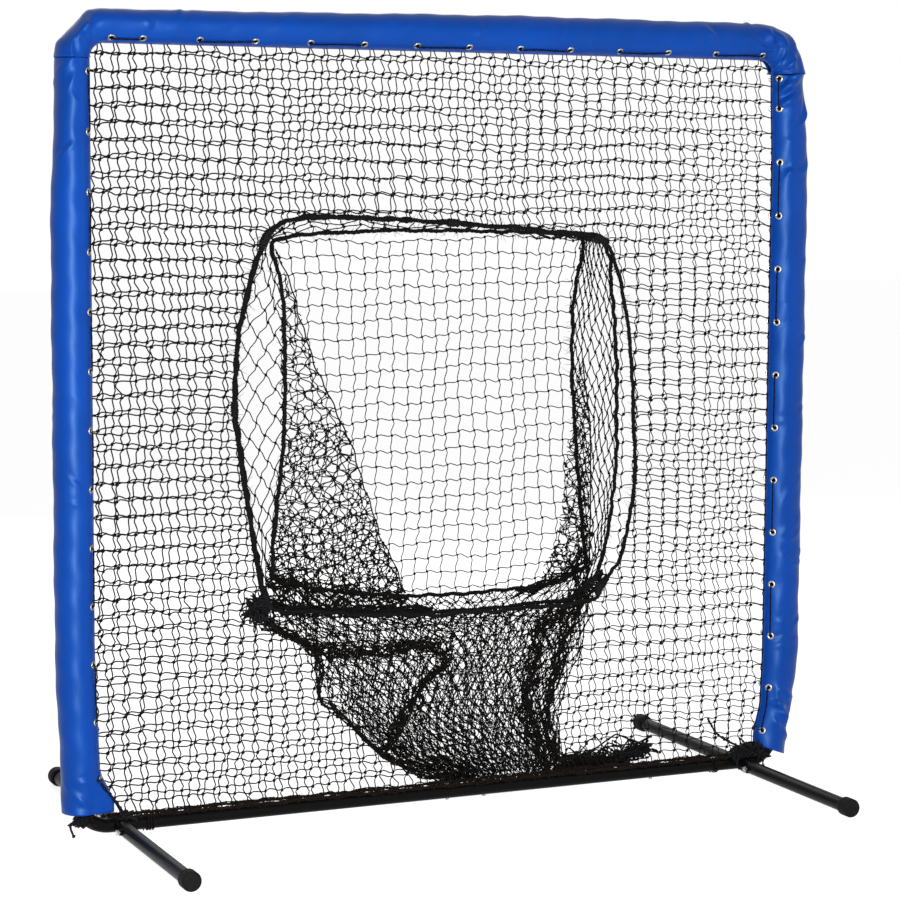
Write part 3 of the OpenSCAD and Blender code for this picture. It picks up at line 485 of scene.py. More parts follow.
def add_strands(build, a, b, normal, width, rng, swing=0.0022, sag=0.0, steps=4):
    """Many three-sided strands from a to b, each with a soft S in the surface it lies in"""
    if not len(a):
        return
    t = np.linspace(0, 1, steps + 1)[None, :, None]
    along = unit(b - a)
    normal = unit(normal)
    across = unit(np.cross(normal, along))
    sway = swing * rng.uniform(0.5, 1.4, (len(a), 1, 1))
    lift = sag * rng.uniform(0.6, 1.4, (len(a), 1, 1)) + rng.normal(0, 0.0007, (len(a), 1, 1))
    path = a[:, None] * (1 - t) + b[:, None] * t
    path = path + across[:, None] * (sway * np.sin(2 * np.pi * t) + lift * np.sin(np.pi * t))
    step = np.gradient(path, axis=1)
    e2 = unit(np.cross(step, np.broadcast_to(normal[:, None], path.shape)))
    e1 = unit(np.cross(e2, step))
    angle = np.arange(3) * 2 * np.pi / 3
    ring = (np.cos(angle)[None, None, :, None] * e1[:, :, None]
            + np.sin(angle)[None, None, :, None] * np.cross(unit(step), e1)[:, :, None])
    width = np.broadcast_to(np.asarray(width, dtype=float), (len(a),))
    verts = path[:, :, None] + ring * width[:, None, None, None] / 2
    per = (steps + 1) * 3
    base = (np.arange(len(a)) * per)[:, None, None]
    quads = (base + ring_faces(steps + 1, 3, False)[None]).reshape(-1, 4)
    caps = np.array([(2, 1, 0), (per - 3, per - 2, per - 1)])
    build.add(verts, [quads, (base + caps[None]).reshape(-1, 3)])


def drift(points, amount, wave, rng):
    """Smooth wandering of points: a few long waves in random directions"""
    waves = 7
    shift = np.zeros_like(points)
    for _ in range(waves):
        turn = rng.normal(0, 1, 3)
        turn = turn / np.linalg.norm(turn) * 2 * np.pi / (wave * rng.uniform(0.6, 1.7))
        phase = rng.uniform(0, 2 * np.pi, 3)
        shift += np.sin((points @ turn)[:, None] + phase) * rng.normal(0, 1, 3)
    return shift * amount / math.sqrt(waves)


def inside(points, polygon):
    """Which (x, z) points lie inside a polygon"""
    x, z = points[:, 0], points[:, 1]
    result = np.zeros(len(points), dtype=bool)
    for (x0, z0), (x1, z1) in zip(polygon, np.roll(polygon, -1, 0)):
        crosses = (z0 > z) != (z1 > z)
        with np.errstate(divide="ignore", invalid="ignore"):
            result ^= crosses & (x < (x1 - x0) * (z - z0) / (z1 - z0) + x0)
    return result


def clip_to_edge(keep, drop, polygon):
    """Moves drop towards keep until it lies on the polygon's edge, by halving"""
    low, high = keep.copy(), drop.copy()
    state = inside(keep[:, [0, 2]], polygon)
    for _ in range(12):
        middle = (low + high) / 2
        same = (inside(middle[:, [0, 2]], polygon) == state)[:, None]
        low = np.where(same, middle, low)
        high = np.where(same, high, middle)
    return (low + high) / 2


def smooth_route(points, closed, step):
    """Rounded curve through the points, sampled at an even step"""
    p = np.asarray(points, dtype=float)
    n = len(p)
    t = np.linspace(0, 1, 24, endpoint=False)[:, None]
    h = [2 * t**3 - 3 * t**2 + 1, t**3 - 2 * t**2 + t, -2 * t**3 + 3 * t**2, t**3 - t**2]
    pieces = []
    for i in range(n if closed else n - 1):
        near = [(i + k) % n if closed else min(max(i + k, 0), n - 1) for k in (-1, 0, 1, 2)]
        before, here, there, after = p[near]
        m1, m2 = (there - before) * 0.42, (after - here) * 0.42
        pieces.append(h[0] * here + h[1] * m1 + h[2] * there + h[3] * m2)
    path = np.concatenate(pieces + ([] if closed else [p[-1:]]))
    ring = np.vstack([path, path[:1]]) if closed else path
    far = distances(ring)
    count = max(4, int(far[-1] / step))
    return points_at(np.linspace(0, far[-1], count, endpoint=not closed), far, ring)


def add_rope(build, path, diameter, rng, closed=True, pitch=0.05, rough=0.0022):
    """Laid rope of three strands that wind round the path"""
    e1, e2 = moving_frames(path, closed)
    n = len(path)
    turns = max(1, round(n * np.linalg.norm(path[1] - path[0]) / pitch))
    angle = np.arange(n) / n * turns * 2 * np.pi
    path = path + drift(path, rough, 0.05, rng)
    marks = np.arange(0, n + 4, 4)
    for k in range(3):
        centre = path + beside(angle + k * 2 * np.pi / 3, e1, e2) * (diameter * 0.20)
        lumps = np.interp(np.arange(n), marks, rng.uniform(0.78, 1.28, len(marks)))
        add_tube(build, centre, diameter * 0.26 * lumps * (1 + rng.normal(0, 0.05, n)), 6, closed)


def add_fibres(build, path, count, rng, out, length=(0.006, 0.022), width=0.0007):
    """Stray fibres that stand off a rope"""
    where = rng.integers(0, len(path), count)
    for i in where:
        ahead = unit(path[(i + 1) % len(path)] - path[i])
        away = rng.normal(0, 1, 3)
        away = unit(away - ahead * (away @ ahead))
        reach = rng.uniform(*length)
        lean = ahead * rng.uniform(-1.0, 1.0)
        bend = rng.normal(0, 0.25, 3)
        start = path[i] + away * out * 0.7
        t = np.linspace(0, 1, 4)[:, None]
        line = start + (away + lean) * reach * t + bend * reach * t**2
        add_tube(build, line, np.linspace(width, width * 0.4, 4), 3)


def add_flat_net(build, side, pitch, polygon, rng, shift, width):
    """Square netting from the laced flaps to the mouth's rope. The two layers lie close together at
    the pads and part towards the rope."""
    x0, x1, z0, z1 = -HALF_WIDTH + EDGE, HALF_WIDTH - EDGE, NET_LOW_Z, TOP_Z - EDGE
    nx, nz = round((x1 - x0) / pitch), round((z1 - z0) / pitch)
    x, z = (grid.ravel() for grid in np.meshgrid(
        x0 + np.arange(nx + 1) * (x1 - x0) / nx, z0 + np.arange(nz + 1) * (z1 - z0) / nz,
        indexing="ij"))
    flat = np.stack([x, np.zeros(len(x)), z], 1)
    moved = drift(flat, 0.0080, 0.42, rng) + drift(flat, 0.0028, 0.11, rng)
    moved += rng.normal(0, 0.0018, flat.shape)
    moved += (shift[0], 0.0, shift[1])
    # The mouth's rope draws the meshes round it inwards
    off = flat[:, [0, 2]] - polygon.mean(0)
    reach = np.linalg.norm(off, axis=1)
    pull = np.exp(-((reach - 0.62) / 0.20) ** 2) * 0.006
    moved[:, [0, 2]] -= off / np.maximum(reach, 0.05)[:, None] * pull[:, None]
    # Nothing moves where the netting is laced
    edge = np.minimum.reduce([x - x0, x1 - x, z - z0, z1 - z])
    moved *= np.clip(edge / 0.05, 0.0, 1.0)[:, None]
    moved[:, 1] = np.clip(moved[:, 1], -0.0011, 0.0011)
    flat = flat + moved
    flat[:, 1] += side * layer_depth(flat[:, 0], flat[:, 2], polygon)
    points = flat.reshape(nx + 1, nz + 1, 3)
    corner = np.maximum(np.abs(points[..., 0]) - BEND_X, 0.0)
    high = np.maximum(points[..., 2] - BEND_Z, 0.0)
    low = np.maximum(RAIL_Z + BEND - points[..., 2], 0.0)
    within = (np.hypot(corner, high) < BEND - 0.02) & (np.hypot(corner, low) < BEND - 0.012)
    out = ~inside(flat[:, [0, 2]], polygon).reshape(nx + 1, nz + 1)
    add_lattice(build, points, out, within, polygon, width, rng, (0.0024, -0.0040), 0.0022, 0.17)


def add_lattice(build, points, shown, allowed, polygon, width, rng, swings, sag, fuller=0.0):
    """Strands and knots of a net in an upright plane, each strand cut at the outline's edge and
    fuller towards -X"""
    ways = ((np.s_[:-1], np.s_[1:], swings[0], sag), (np.s_[:, :-1], np.s_[:, 1:], swings[1], 0.0))
    for low, high, swing, hang in ways:
        a, b, a_shown, b_shown = points[low], points[high], shown[low], shown[high]
        fit = allowed[low] & allowed[high]
        both, first, second = (
            a_shown & b_shown & fit, a_shown & ~b_shown & fit, ~a_shown & b_shown & fit)
        p = np.concatenate([a[both], a[first], b[second]])
        q = np.concatenate([b[both], clip_to_edge(a[first], b[first], polygon),
                            clip_to_edge(b[second], a[second], polygon)])
        full = width * (1.03 - fuller * p[:, 0])
        add_strands(build, p, q, np.tile((0.0, -1.0, 0.0), (len(p), 1)), full, rng, swing, hang)
    add_knots(build, points[shown & allowed], width * 1.35, rng)


def add_patch(build, polygon, depth, angle, pitch, rng, width):
    """Slack netting within an (x, z) outline, its meshes turned by an angle and pulled about"""
    centre = polygon.mean(0)
    n = int(np.linalg.norm(polygon - centre, axis=1).max() / pitch) + 2
    steps = np.arange(-n, n + 1)
    grid = np.stack(np.meshgrid(steps, steps, indexing="ij"), -1) * pitch
    turn = np.array(((math.cos(angle), math.sin(angle)), (-math.sin(angle), math.cos(angle))))
    flat = centre + grid.reshape(-1, 2) @ turn
    points = np.stack([flat[:, 0], np.zeros(len(flat)), flat[:, 1]], 1)
    points += drift(points, 0.010, 0.15, rng) + rng.normal(0, pitch * 0.10, points.shape)
    points[:, 1] += depth(points[:, 0], points[:, 2])
    shown = inside(points[:, [0, 2]], polygon).reshape(grid.shape[:2])
    points = points.reshape(grid.shape[:2] + (3,))
    everywhere = np.ones_like(shown)
    add_lattice(build, points, shown, everywhere, polygon, width, rng, (0.003, -0.003), 0.002)


def layer_depth(x, z, polygon):
    """Distance of a layer from the middle plane"""
    edge = np.maximum(np.minimum(HALF_WIDTH - np.abs(x), TOP_Z - z) - PAD_R, 0.0)
    mouth = np.full(len(x), np.inf)
    p = np.stack([x, z], 1)
    for a, b in zip(polygon, np.roll(polygon, -1, 0)):
        t = np.clip(((p - a) @ (b - a)) / ((b - a) @ (b - a)), 0, 1)[:, None]
        mouth = np.minimum(mouth, np.linalg.norm(p - a - t * (b - a), axis=1))
    part = edge / np.maximum(edge + mouth, 1e-6)
    upper = EDGE_Y + (NET_Y + 0.0015 - EDGE_Y) * part ** 0.8
    low = np.clip((z - NET_LOW_Z) / 0.30, 0.0, 1.0)
    return NET_Y * (1 - low) + upper * low


def add_surface_net(build, rows, rng, kind, width, swing, wrap=False, steps=4):
    """Square or diamond netting on a surface. rows[r][c] are the places of the knots, and wrap
    joins the ends of diamond rows."""
    rows = np.asarray(rows, dtype=float)
    normal = unit(np.cross(np.gradient(rows, axis=1), np.gradient(rows, axis=0))).reshape(-1, 3)
    index = np.arange(rows.shape[0] * rows.shape[1]).reshape(rows.shape[:2])
    pairs = [(index[:-1], index[1:])]
    if kind == "square":
        pairs.insert(0, (index[:, :-1], index[:, 1:]))
    else:
        even, odd = index[:-1:2], index[1:-1:2]
        below_even, below_odd = index[1::2][:len(even)], index[2::2][:len(odd)]
        pairs += [(even[:, 1:], below_even[:, :-1]), (odd[:, :-1], below_odd[:, 1:])]
        if wrap:
            pairs += [(even[:, :1], below_even[:, -1:]), (odd[:, -1:], below_odd[:, :1])]
    flat = rows.reshape(-1, 3)
    for a, b in pairs:
        a, b = a.reshape(-1), b.reshape(-1)
        add_strands(build, flat[a], flat[b], normal[a], width, rng, swing, steps=steps)
    add_knots(build, flat, width * 1.25, rng)


def ruled(edge_a, edge_b, rows, cols, kind):
    """Knot places between two edges; diamond rows alternate by half a mesh"""
    out = np.zeros((rows, cols, 3))
    for r, (a, b) in enumerate(zip(resample(edge_a, rows), resample(edge_b, rows))):
        u = np.linspace(0, 1, cols)
        if kind == "diamond":
            u = (np.arange(cols) + 0.5 * (r % 2)) / (cols - 0.5)
        out[r] = a * (1 - u[:, None]) + b * u[:, None]
    return out


def resample(points, count):
    """The given number of points, evenly spaced along an open path"""
    path = np.asarray(points, dtype=float)
    far = distances(path)
    return points_at(np.linspace(0, far[-1], count), far, path)


def spaced(ring, count, turn):
    """Evenly spaced points on a closed ring, moved along by a share of their spacing"""
    far = distances(ring)
    return points_at((np.arange(count) + turn) / count * far[-1], far, ring)


def moved_knots(knots, amount, wave, rng):
    """How far drift moves each knot of a grid"""
    return drift(knots.reshape(-1, 3), amount, wave, rng).reshape(knots.shape)


def mm(points):
    """Millimetres to metres"""
    return np.asarray(points, dtype=float) * 0.001


def mouth_route(points, y):
    """Route (x, z) in mm, laid in the plane at y in metres"""
    p = mm(points)
    return np.stack([p[:, 0], np.full(len(p), y), p[:, 1]], 1)


# Pads --------------------------------------------------------------------------------------------

def flap_place(t):
    """Place on the flap's section, from the round pad at 0 to the flap's edge at 1"""
    start, turn, end = FLAP
    return start * (1 - t) ** 2 + turn * 2 * t * (1 - t) + end * t ** 2


def cover_profile():
    """Section of a cover from one flap's edge round to the other, in the pad's own axes:
    u points from the tube towards the netting, v towards the front"""
    flap = flap_place(np.linspace(1, 0, 11)[:-1, None])
    turn = np.linspace(FLAP_ANGLE, 2 * math.pi - FLAP_ANGLE, 84)
    arc = PAD_R * np.stack([np.cos(turn), np.sin(turn)], 1)
    return np.concatenate([flap, arc, flap[::-1] * (1, -1)])


def flap_spot():
    """Place and outward direction of a grommet on the front flap's section"""
    start, turn, end = FLAP
    run = unit((turn - start) * (1 - GROMMET_REACH) + (end - turn) * GROMMET_REACH)
    return flap_place(GROMMET_REACH), np.array((-run[1], run[0]))


def ease(value):
    """Smooth step from 0 to 1"""
    t = np.clip(value, 0.0, 1.0)
    return t * t * (3 - 2 * t)


def on_left(s, u, v):
    """The left pad: its foot spreads towards the netting below the last grommet"""
    loose = ease((0.185 - s) / 0.10) * ease((u - 0.012) / 0.036)
    u = u * (1 - 0.30 * (u < 0) * ease((s - 1.55) / 0.45))
    u = u + 0.032 * loose + 0.014 * ease((0.55 - s) / 0.5)
    v = v + np.sign(v) * 0.010 * loose
    return np.stack([-HALF_WIDTH + u, -v, s + 0 * u], -1)


def on_right(s, u, v):
    """The right pad: fuller on its outer side, with its foot drawn in and its hem slanted"""
    full = ease((s - 0.12) / 0.25) * ease((2.00 - s) / 0.25)
    straight = 0.0433 + (0.0085 + v) * 0.92
    pressed = np.minimum(u, straight + (u - straight) * 0.12)
    u = u + (pressed - u) * (v < 0) * ease((u - 0.006) / 0.014)
    u = u - 0.014 * full * ease((0.01 - u) / 0.05) - 0.007 * full
    drawn = ease((0.20 - s) / 0.14)
    rise = ease((0.24 - s) / 0.20) * (PAD_R + u) * 0.36
    return np.stack([HALF_WIDTH - u - 0.018 * drawn, -v, s + rise], -1)


def on_top(s, u, v):
    """The top pad with both corners: s runs from the left corner's foot to the right one's. Both
    ends open out a little, and the outer side is flat across the left corner."""
    left_end, right_end = (0.012 - s) / 0.012, (s - TOP_RUN - 2 * CORNER_RUN + 0.012) / 0.012
    lip = 1 + 0.05 * (ease(left_end) + ease(right_end))
    u, v = u * lip, v * lip
    turn = np.clip(s / CORNER_RUN, 0, 1) * math.pi / 2
    flat = (BEND + TUBE_R + 0.0021) / np.cos(turn - math.pi / 4) - BEND
    flat = np.where(s < CORNER_RUN, np.minimum(flat / PAD_R, 0.70),
                    0.70 + 0.30 * ease((s - CORNER_RUN) / 1.3))
    u = np.where(u < 0, u * flat, u)
    x = np.where(s < CORNER_RUN, -BEND_X - (BEND - u) * np.cos(turn), s - CORNER_RUN - BEND_X)
    z = np.where(s < CORNER_RUN, BEND_Z + (BEND - u) * np.sin(turn), TOP_Z - u)
    back = np.clip((s - CORNER_RUN - TOP_RUN) / CORNER_RUN, 0, 1) * math.pi / 2
    past = s > CORNER_RUN + TOP_RUN
    x = np.where(past, BEND_X + (BEND - u) * np.sin(back), x)
    z = np.where(past, BEND_Z + (BEND - u) * np.cos(back), z)
    return np.stack([x, -v + 0 * x, z], -1)


def pads():
    """Each pad: its laying function, its grommets and its ends along its own length"""
    left, right, top = grommet_spots()
    return {
        "left": (on_left, left, 0.07, BEND_Z - 0.0001),
        "right": (on_right, right, 0.041, BEND_Z - 0.0001),
        "top": (on_top, [x + BEND_X + CORNER_RUN for x in top], 0.0, TOP_RUN + 2 * CORNER_RUN)}


def grommet_spots():
    """Places of the grommets along each pad: the left and right by height, the top along X"""
    steps = [k * GROMMET_PITCH for k in range(13)]
    left = [TOP_Z - 0.1245 - step for step in steps]
    right = [TOP_Z - 0.103] + [TOP_Z - 0.1876 - step for step in steps]
    top = [0.102 - HALF_WIDTH] + [0.1857 - HALF_WIDTH + step for step in steps]
    return left, right, top


def wrinkle(s, around, spots, creases, rng):
    """Lift of the vinyl off the round pad, in metres, at a place along it and an angle around it:
    long waves, a dip at each grommet with a swell between two, and the creases"""
    lift = 0.0011 * np.sin(2 * np.pi * s / 0.31 + 1.3 * np.sin(around))
    lift *= 0.4 + 0.6 * np.cos(around / 2) ** 2
    lift += 0.0007 * np.sin(2 * np.pi * s / 0.093 + 2.2 * around + 0.7)
    halfway = 0.076
    dip = np.exp(-((np.abs(around) - 2.15) / 0.42) ** 2)
    swell = np.exp(-((np.abs(around) - 2.1) / 0.5) ** 2)
    for spot in spots:
        lift -= 0.0022 * np.exp(-((s - spot) / 0.030) ** 2) * dip
        lift += 0.0012 * np.exp(-((s - spot - halfway) / 0.034) ** 2) * swell
    for place, reach, depth, lean, count in creases:
        for _ in range(count):
            where = rng.choice((-1.0, 1.0)) * rng.normal(1.45, 0.42)
            along, across = s - place - rng.normal(0, reach * 0.6), (around - where) * PAD_R
            turn = lean + rng.normal(0, 0.35)
            off = along * math.cos(turn) + across * math.sin(turn)
            run = across * math.cos(turn) - along * math.sin(turn)
            off = off + rng.normal(0, 5.0) * run ** 2
            size, wide = rng.uniform(0.018, 0.040), rng.uniform(0.006, 0.011)
            ridge = np.exp(-(np.abs(off) / wide) ** 1.3)
            ridge -= 0.6 * np.exp(-((off - 1.7 * wide) / (1.2 * wide)) ** 2)
            lift += 1.4 * depth * rng.uniform(0.6, 1.2) * ridge * np.exp(-(run / size) ** 2)
    return lift


def make_cover(stations, place, spots, creases, seed):
    """Vinyl sleeve laid by place(s, u, v) with holes at its grommets, and the width of its section
    when laid flat"""
    profile = cover_profile()
    n = len(profile)
    s = stations[:, None] + np.zeros((1, n))
    angle = np.zeros((len(stations), 1)) + np.arctan2(profile[:, 1], -profile[:, 0])[None]
    lift = wrinkle(s, angle, spots, creases, np.random.default_rng(seed))
    lift *= np.clip(1.15 - np.abs(np.linspace(-1, 1, n)) ** 6, 0.15, 1.0)[None]
    length = np.linalg.norm(profile, axis=1)
    scale = (length[None] + lift) / length[None]
    verts = place(s, profile[None, :, 0] * scale, profile[None, :, 1] * scale)
    far = distances(profile)
    middle = (far[1:] + far[:-1]) / 2
    hole = far[nearest(profile, flap_spot()[0])]
    holes = np.minimum(np.abs(middle - hole), np.abs(middle - (far[-1] - hole)))
    along = (stations[1:] + stations[:-1]) / 2
    near = np.min(np.abs(along[:, None] - np.asarray(spots)[None]), axis=1)
    row, column = np.nonzero(np.hypot(near[:, None], holes[None]) > HOLE_R)
    first = row * n + column
    build = Build()
    build.add(verts, [np.stack([first, first + 1, first + n + 1, first + n], -1)])
    return build, float(far[-1])


@contextmanager
def editing(obj):
    """Edit mode with the whole of one object selected"""
    bpy.ops.object.select_all(action="DESELECT")
    obj.select_set(True)
    bpy.context.view_layer.objects.active = obj
    bpy.ops.object.mode_set(mode="EDIT")
    bpy.ops.mesh.select_all(action="SELECT")
    yield
    bpy.ops.object.mode_set(mode="OBJECT")


def finish_cover(build, name, node, material):
    """Welds the sleeve, gives it its thickness and shows it for its node"""
    obj = build.finish(name, material, "blue_vinyl")
    with editing(obj):
        bpy.ops.mesh.remove_doubles(threshold=0.00005)
        bpy.ops.mesh.delete_loose()
    wall = obj.modifiers.new("Wall", "SOLIDIFY")
    wall.thickness = sizes().vinyl
    wall.offset = -1.0
    bpy.ops.object.modifier_apply(modifier=wall.name)
    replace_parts(obj, node)
    return obj


def steps_between(low, high, step):
    """Even stations from low to high, about a step apart"""
    return np.linspace(low, high, max(2, int(round((high - low) / step))) + 1)


class NET_OT_stage(bpy.types.Operator):
    """Camera, soft lamps, pale floor and world"""
    bl_idname = "net.stage"
    bl_label = "Stage"

    def execute(self, context):
        scene = context.scene
        scene.view_settings.view_transform = "Standard"
        add_camera(scene)
        for lamp in LAMPS:
            add_lamp(scene, *lamp)
        add_floor()
        add_world(scene)
        return {"FINISHED"}


def add_camera(scene):
    data = bpy.data.cameras.new("Camera")
    data.lens = CAMERA_LENS
    data.sensor_width = 36.0
    data.clip_end = 100.0
    camera = bpy.data.objects.new("Camera", data)
    scene.collection.objects.link(camera)
    yaw, pitch, roll = (math.radians(a) for a in CAMERA_TURN)
    level = math.cos(pitch)
    ahead = Vector((math.sin(yaw) * level, math.cos(yaw) * level, -math.sin(pitch)))
    right = Vector((math.cos(yaw), -math.sin(yaw), 0.0))
    up = right.cross(ahead)
    right, up = (math.cos(roll) * right + math.sin(roll) * up,
                 math.cos(roll) * up - math.sin(roll) * right)
    turn = Matrix((right, up, -ahead)).transposed().to_4x4()
    camera.matrix_world = Matrix.Translation(CAMERA_PLACE) @ turn
    scene.camera = camera


def add_lamp(scene, name, place, aim, size, power):
    data = bpy.data.lights.new(name, "AREA")
    data.shape = "RECTANGLE"
    data.size, data.size_y = size
    data.energy = power
    lamp = bpy.data.objects.new(name, data)
    lamp.location = place
    lamp.rotation_euler = (Vector(aim) - Vector(place)).to_track_quat("-Z", "Y").to_euler()
    scene.collection.objects.link(lamp)


def show_to_camera(nodes, links, plain, seen, surface):
    """Camera, glossy and transmission rays get the seen shader, and all others the plain one"""
    path = nodes.new("ShaderNodeLightPath")
    fac = path.outputs["Is Camera Ray"]
    for ray in ("Is Glossy Ray", "Is Transmission Ray"):
        either = nodes.new("ShaderNodeMath")
        either.operation = "MAXIMUM"
        links.new(fac, either.inputs[0])
        links.new(path.outputs[ray], either.inputs[1])
        fac = either.outputs[0]
    mix = nodes.new("ShaderNodeMixShader")
    for source, socket in ((fac, mix.inputs["Fac"]), (plain, mix.inputs[1]), (seen, mix.inputs[2]),
                           (mix.outputs[0], surface)):
        links.new(source, socket)


def add_floor():
    bpy.ops.object.select_all(action="DESELECT")
    bpy.ops.mesh.primitive_plane_add(size=60.0, location=(0.0, 0.0, 0.0))
    floor = bpy.context.active_object
    floor.name = "Floor"
    mat = bpy.data.materials.new("Pale floor")
    mat.use_nodes = True
    nodes, links = mat.node_tree.nodes, mat.node_tree.links
    base = nodes["Principled BSDF"]
    base.inputs["Base Color"].default_value = (0.82, 0.82, 0.82, 1.0)
    base.inputs["Roughness"].default_value = 0.9
    base.inputs["Specular IOR Level"].default_value = 0.1
    glow = nodes.new("ShaderNodeEmission")
    glow.inputs["Color"].default_value = WHITE
    glow.inputs["Strength"].default_value = FLOOR_GLOW
    lit = nodes.new("ShaderNodeAddShader")
    links.new(base.outputs["BSDF"], lit.inputs[0])
    links.new(glow.outputs["Emission"], lit.inputs[1])
    show_to_camera(nodes, links, base.outputs["BSDF"], lit.outputs[0],
                   nodes["Material Output"].inputs["Surface"])
    floor.data.materials.append(mat)


def add_world(scene):
    world = bpy.data.worlds.new("Studio")
    world.use_nodes = True
    nodes, links = world.node_tree.nodes, world.node_tree.links
    seen, fill = nodes["Background"], nodes.new("ShaderNodeBackground")
    for node, strength in ((seen, 1.0), (fill, WORLD_FILL)):
        node.inputs["Color"].default_value = WHITE
        node.inputs["Strength"].default_value = strength
    show_to_camera(nodes, links, fill.outputs["Background"], seen.outputs["Background"],
                   nodes["World Output"].inputs["Surface"])
    scene.world = world


class NET_OT_frame_finish(bpy.types.Operator):
    """Finishes of the frame tubes, legs, caps, bolts and grommets"""
    bl_idname = "net.frame_finish"
    bl_label = "Frame finishes"

    def execute(self, context):
        finish = {
            "frame_black": powder_coat_material(),
            "cap_rubber": rubber_material(),
            "bolt_steel": plated_material(
                "Zinc plate", (0.32, 0.33, 0.35), (0.55, 0.56, 0.58), 0.38, 300.0),
            "lock_steel": plated_material(
                "Bright zinc", (0.48, 0.49, 0.51), (0.72, 0.73, 0.75), 0.28, 300.0),
            "nickel": nickel_finish()}
        for part in frame["record"]["subparts"]:
            mat = finish.get(part["material_slot"])
            if mat:
                for slot in frame["nodes"][part["node"]].material_slots:
                    slot.material = mat
        return {"FINISHED"}


class NET_OT_covers(bpy.types.Operator):
    """Blue vinyl covers of the two uprights and the top rail"""
    bl_idname = "net.covers"
    bl_label = "Pad covers"

    def execute(self, context):
        mat = vinyl_material()
        for seed, (name, (place, spots, low, high)) in enumerate(pads().items()):
            stations = steps_between(low, high, COVER_STEP)
            build, width = make_cover(stations, place, spots, CREASES[name], seed + 11)
            obj = finish_cover(build, f"cover_{name}_skin", f"cover_{name}", mat)
        return {"FINISHED"}


class NET_OT_grommets(bpy.types.Operator):
    """Nickel eyelets in the flaps of the covers"""
    bl_idname = "net.grommets"
    bl_label = "Grommets"

    def execute(self, context):
        bpy.ops.object.select_all(action="DESELECT")
        bpy.ops.mesh.primitive_torus_add(
            major_segments=28, minor_segments=10, major_radius=0.0078, minor_radius=0.0030)
        ring = bpy.context.active_object
        with editing(ring):
            bpy.ops.transform.resize(value=(1.0, 1.0, 0.62))
        verts = np.array([v.co for v in ring.data.vertices])
        faces = np.array([tuple(f.vertices) for f in ring.data.polygons])
        bpy.data.objects.remove(ring)
        (u, v), (nu, nv) = flap_spot()
        # The eyelet's middle, and short steps out of the flap and along the pad
        steps = ((0, 0, 0), (0, nu * 0.004, nv * 0.004), (0.004, 0, 0))
        for name, (place, spots, *_) in pads().items():
            build = Build()
            for spot in spots:
                for side in (-1, 1):
                    centre, out, up = (
                        place(np.float64(spot + k), np.float64(u + a), np.float64(side * (v + b)))
                        for k, a, b in steps)
                    normal = unit(out - centre)
                    along = unit((up - centre) - normal * ((up - centre) @ normal))
                    axes = np.stack([along, np.cross(along, normal), normal])
                    outward = faces[:, ::-1] if np.linalg.det(axes) < 0 else faces
                    build.add(centre - normal * 0.0006 + verts @ axes, [outward])
            obj = build.finish(f"grommets_{name}_set", nickel_finish(), "nickel")
            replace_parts(obj, f"grommets_{name}")
        return {"FINISHED"}


class NET_OT_foam(bpy.types.Operator):
    """Slit foam sleeves inside the covers"""
    bl_idname = "net.foam"
    bl_label = "Foam"

    def execute(self, context):
        mat = foam_material()
        places = {
            "left": (0.20, BEND_Z - 0.05, on_left),
            "right": (0.26, BEND_Z - 0.0003, on_right),
            "top": (CORNER_RUN + 0.04, CORNER_RUN + TOP_RUN - 0.0003, on_top)}
        arc = np.linspace(FOAM_SLIT, 2 * math.pi - FOAM_SLIT, FOAM_SIDES)
        section = np.stack([np.cos(arc), np.sin(arc)], 1)
        ring = np.concatenate([section * (PAD_R - 0.0080), section[::-1] * (TUBE_R + 0.0003)])
        n = len(ring)
        for name, (start, end, place) in places.items():
            stations = steps_between(start, end, 0.02)
            rng = np.random.default_rng(21)
            outer = np.repeat((1.0, 0.0), FOAM_SIDES)
            swell = 1 + rng.normal(0, 0.004, (len(stations), 1)) * outer[None]
            s = stations[:, None] + np.zeros((1, n))
            verts = place(s, ring[None, :, 0] * swell, ring[None, :, 1] * swell)
            ends = []
            for base, turned in ((0, False), ((len(stations) - 1) * n, True)):
                for j in range(FOAM_SIDES - 1):
                    quad = [base + j, base + j + 1, base + n - 2 - j, base + n - 1 - j]
                    ends.append(quad[::-1] if turned else quad)
            build = Build()
            build.add(verts, [ring_faces(len(stations), n, False), ends])
            obj = build.finish(f"foam_{name}_core", mat, "foam")
            with editing(obj):
                bpy.ops.mesh.normals_make_consistent(inside=False)
            bpy.ops.object.shade_smooth_by_angle(angle=math.radians(40))
            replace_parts(obj, f"foam_{name}")
        return {"FINISHED"}


def lacing_path(spots, place):
    """Running stitch through the grommet pairs, alternately in front and behind"""
    (u, v), (nu, nv) = flap_spot()
    points = []
    for k, spot in enumerate(spots):
        for side in ((-1, 1) if k % 2 == 0 else (1, -1)):
            points.append((spot, u + nu * 0.0046, side * (v + nv * 0.0046)))
    path = []
    for a, b in zip(points[:-1], points[1:]):
        count = max(6, int(np.linalg.norm(np.subtract(b, a)) / 0.005))
        t = np.linspace(0, 1, count, endpoint=False)[:, None]
        path.append(np.array(a) * (1 - t) + np.array(b) * t)
    path = np.concatenate(path + [np.array([points[-1]])])
    for _ in range(2):
        path[1:-1] = (path[:-2] + 2 * path[1:-1] + path[2:]) / 4
    return place(path[:, 0], path[:, 1], path[:, 2])


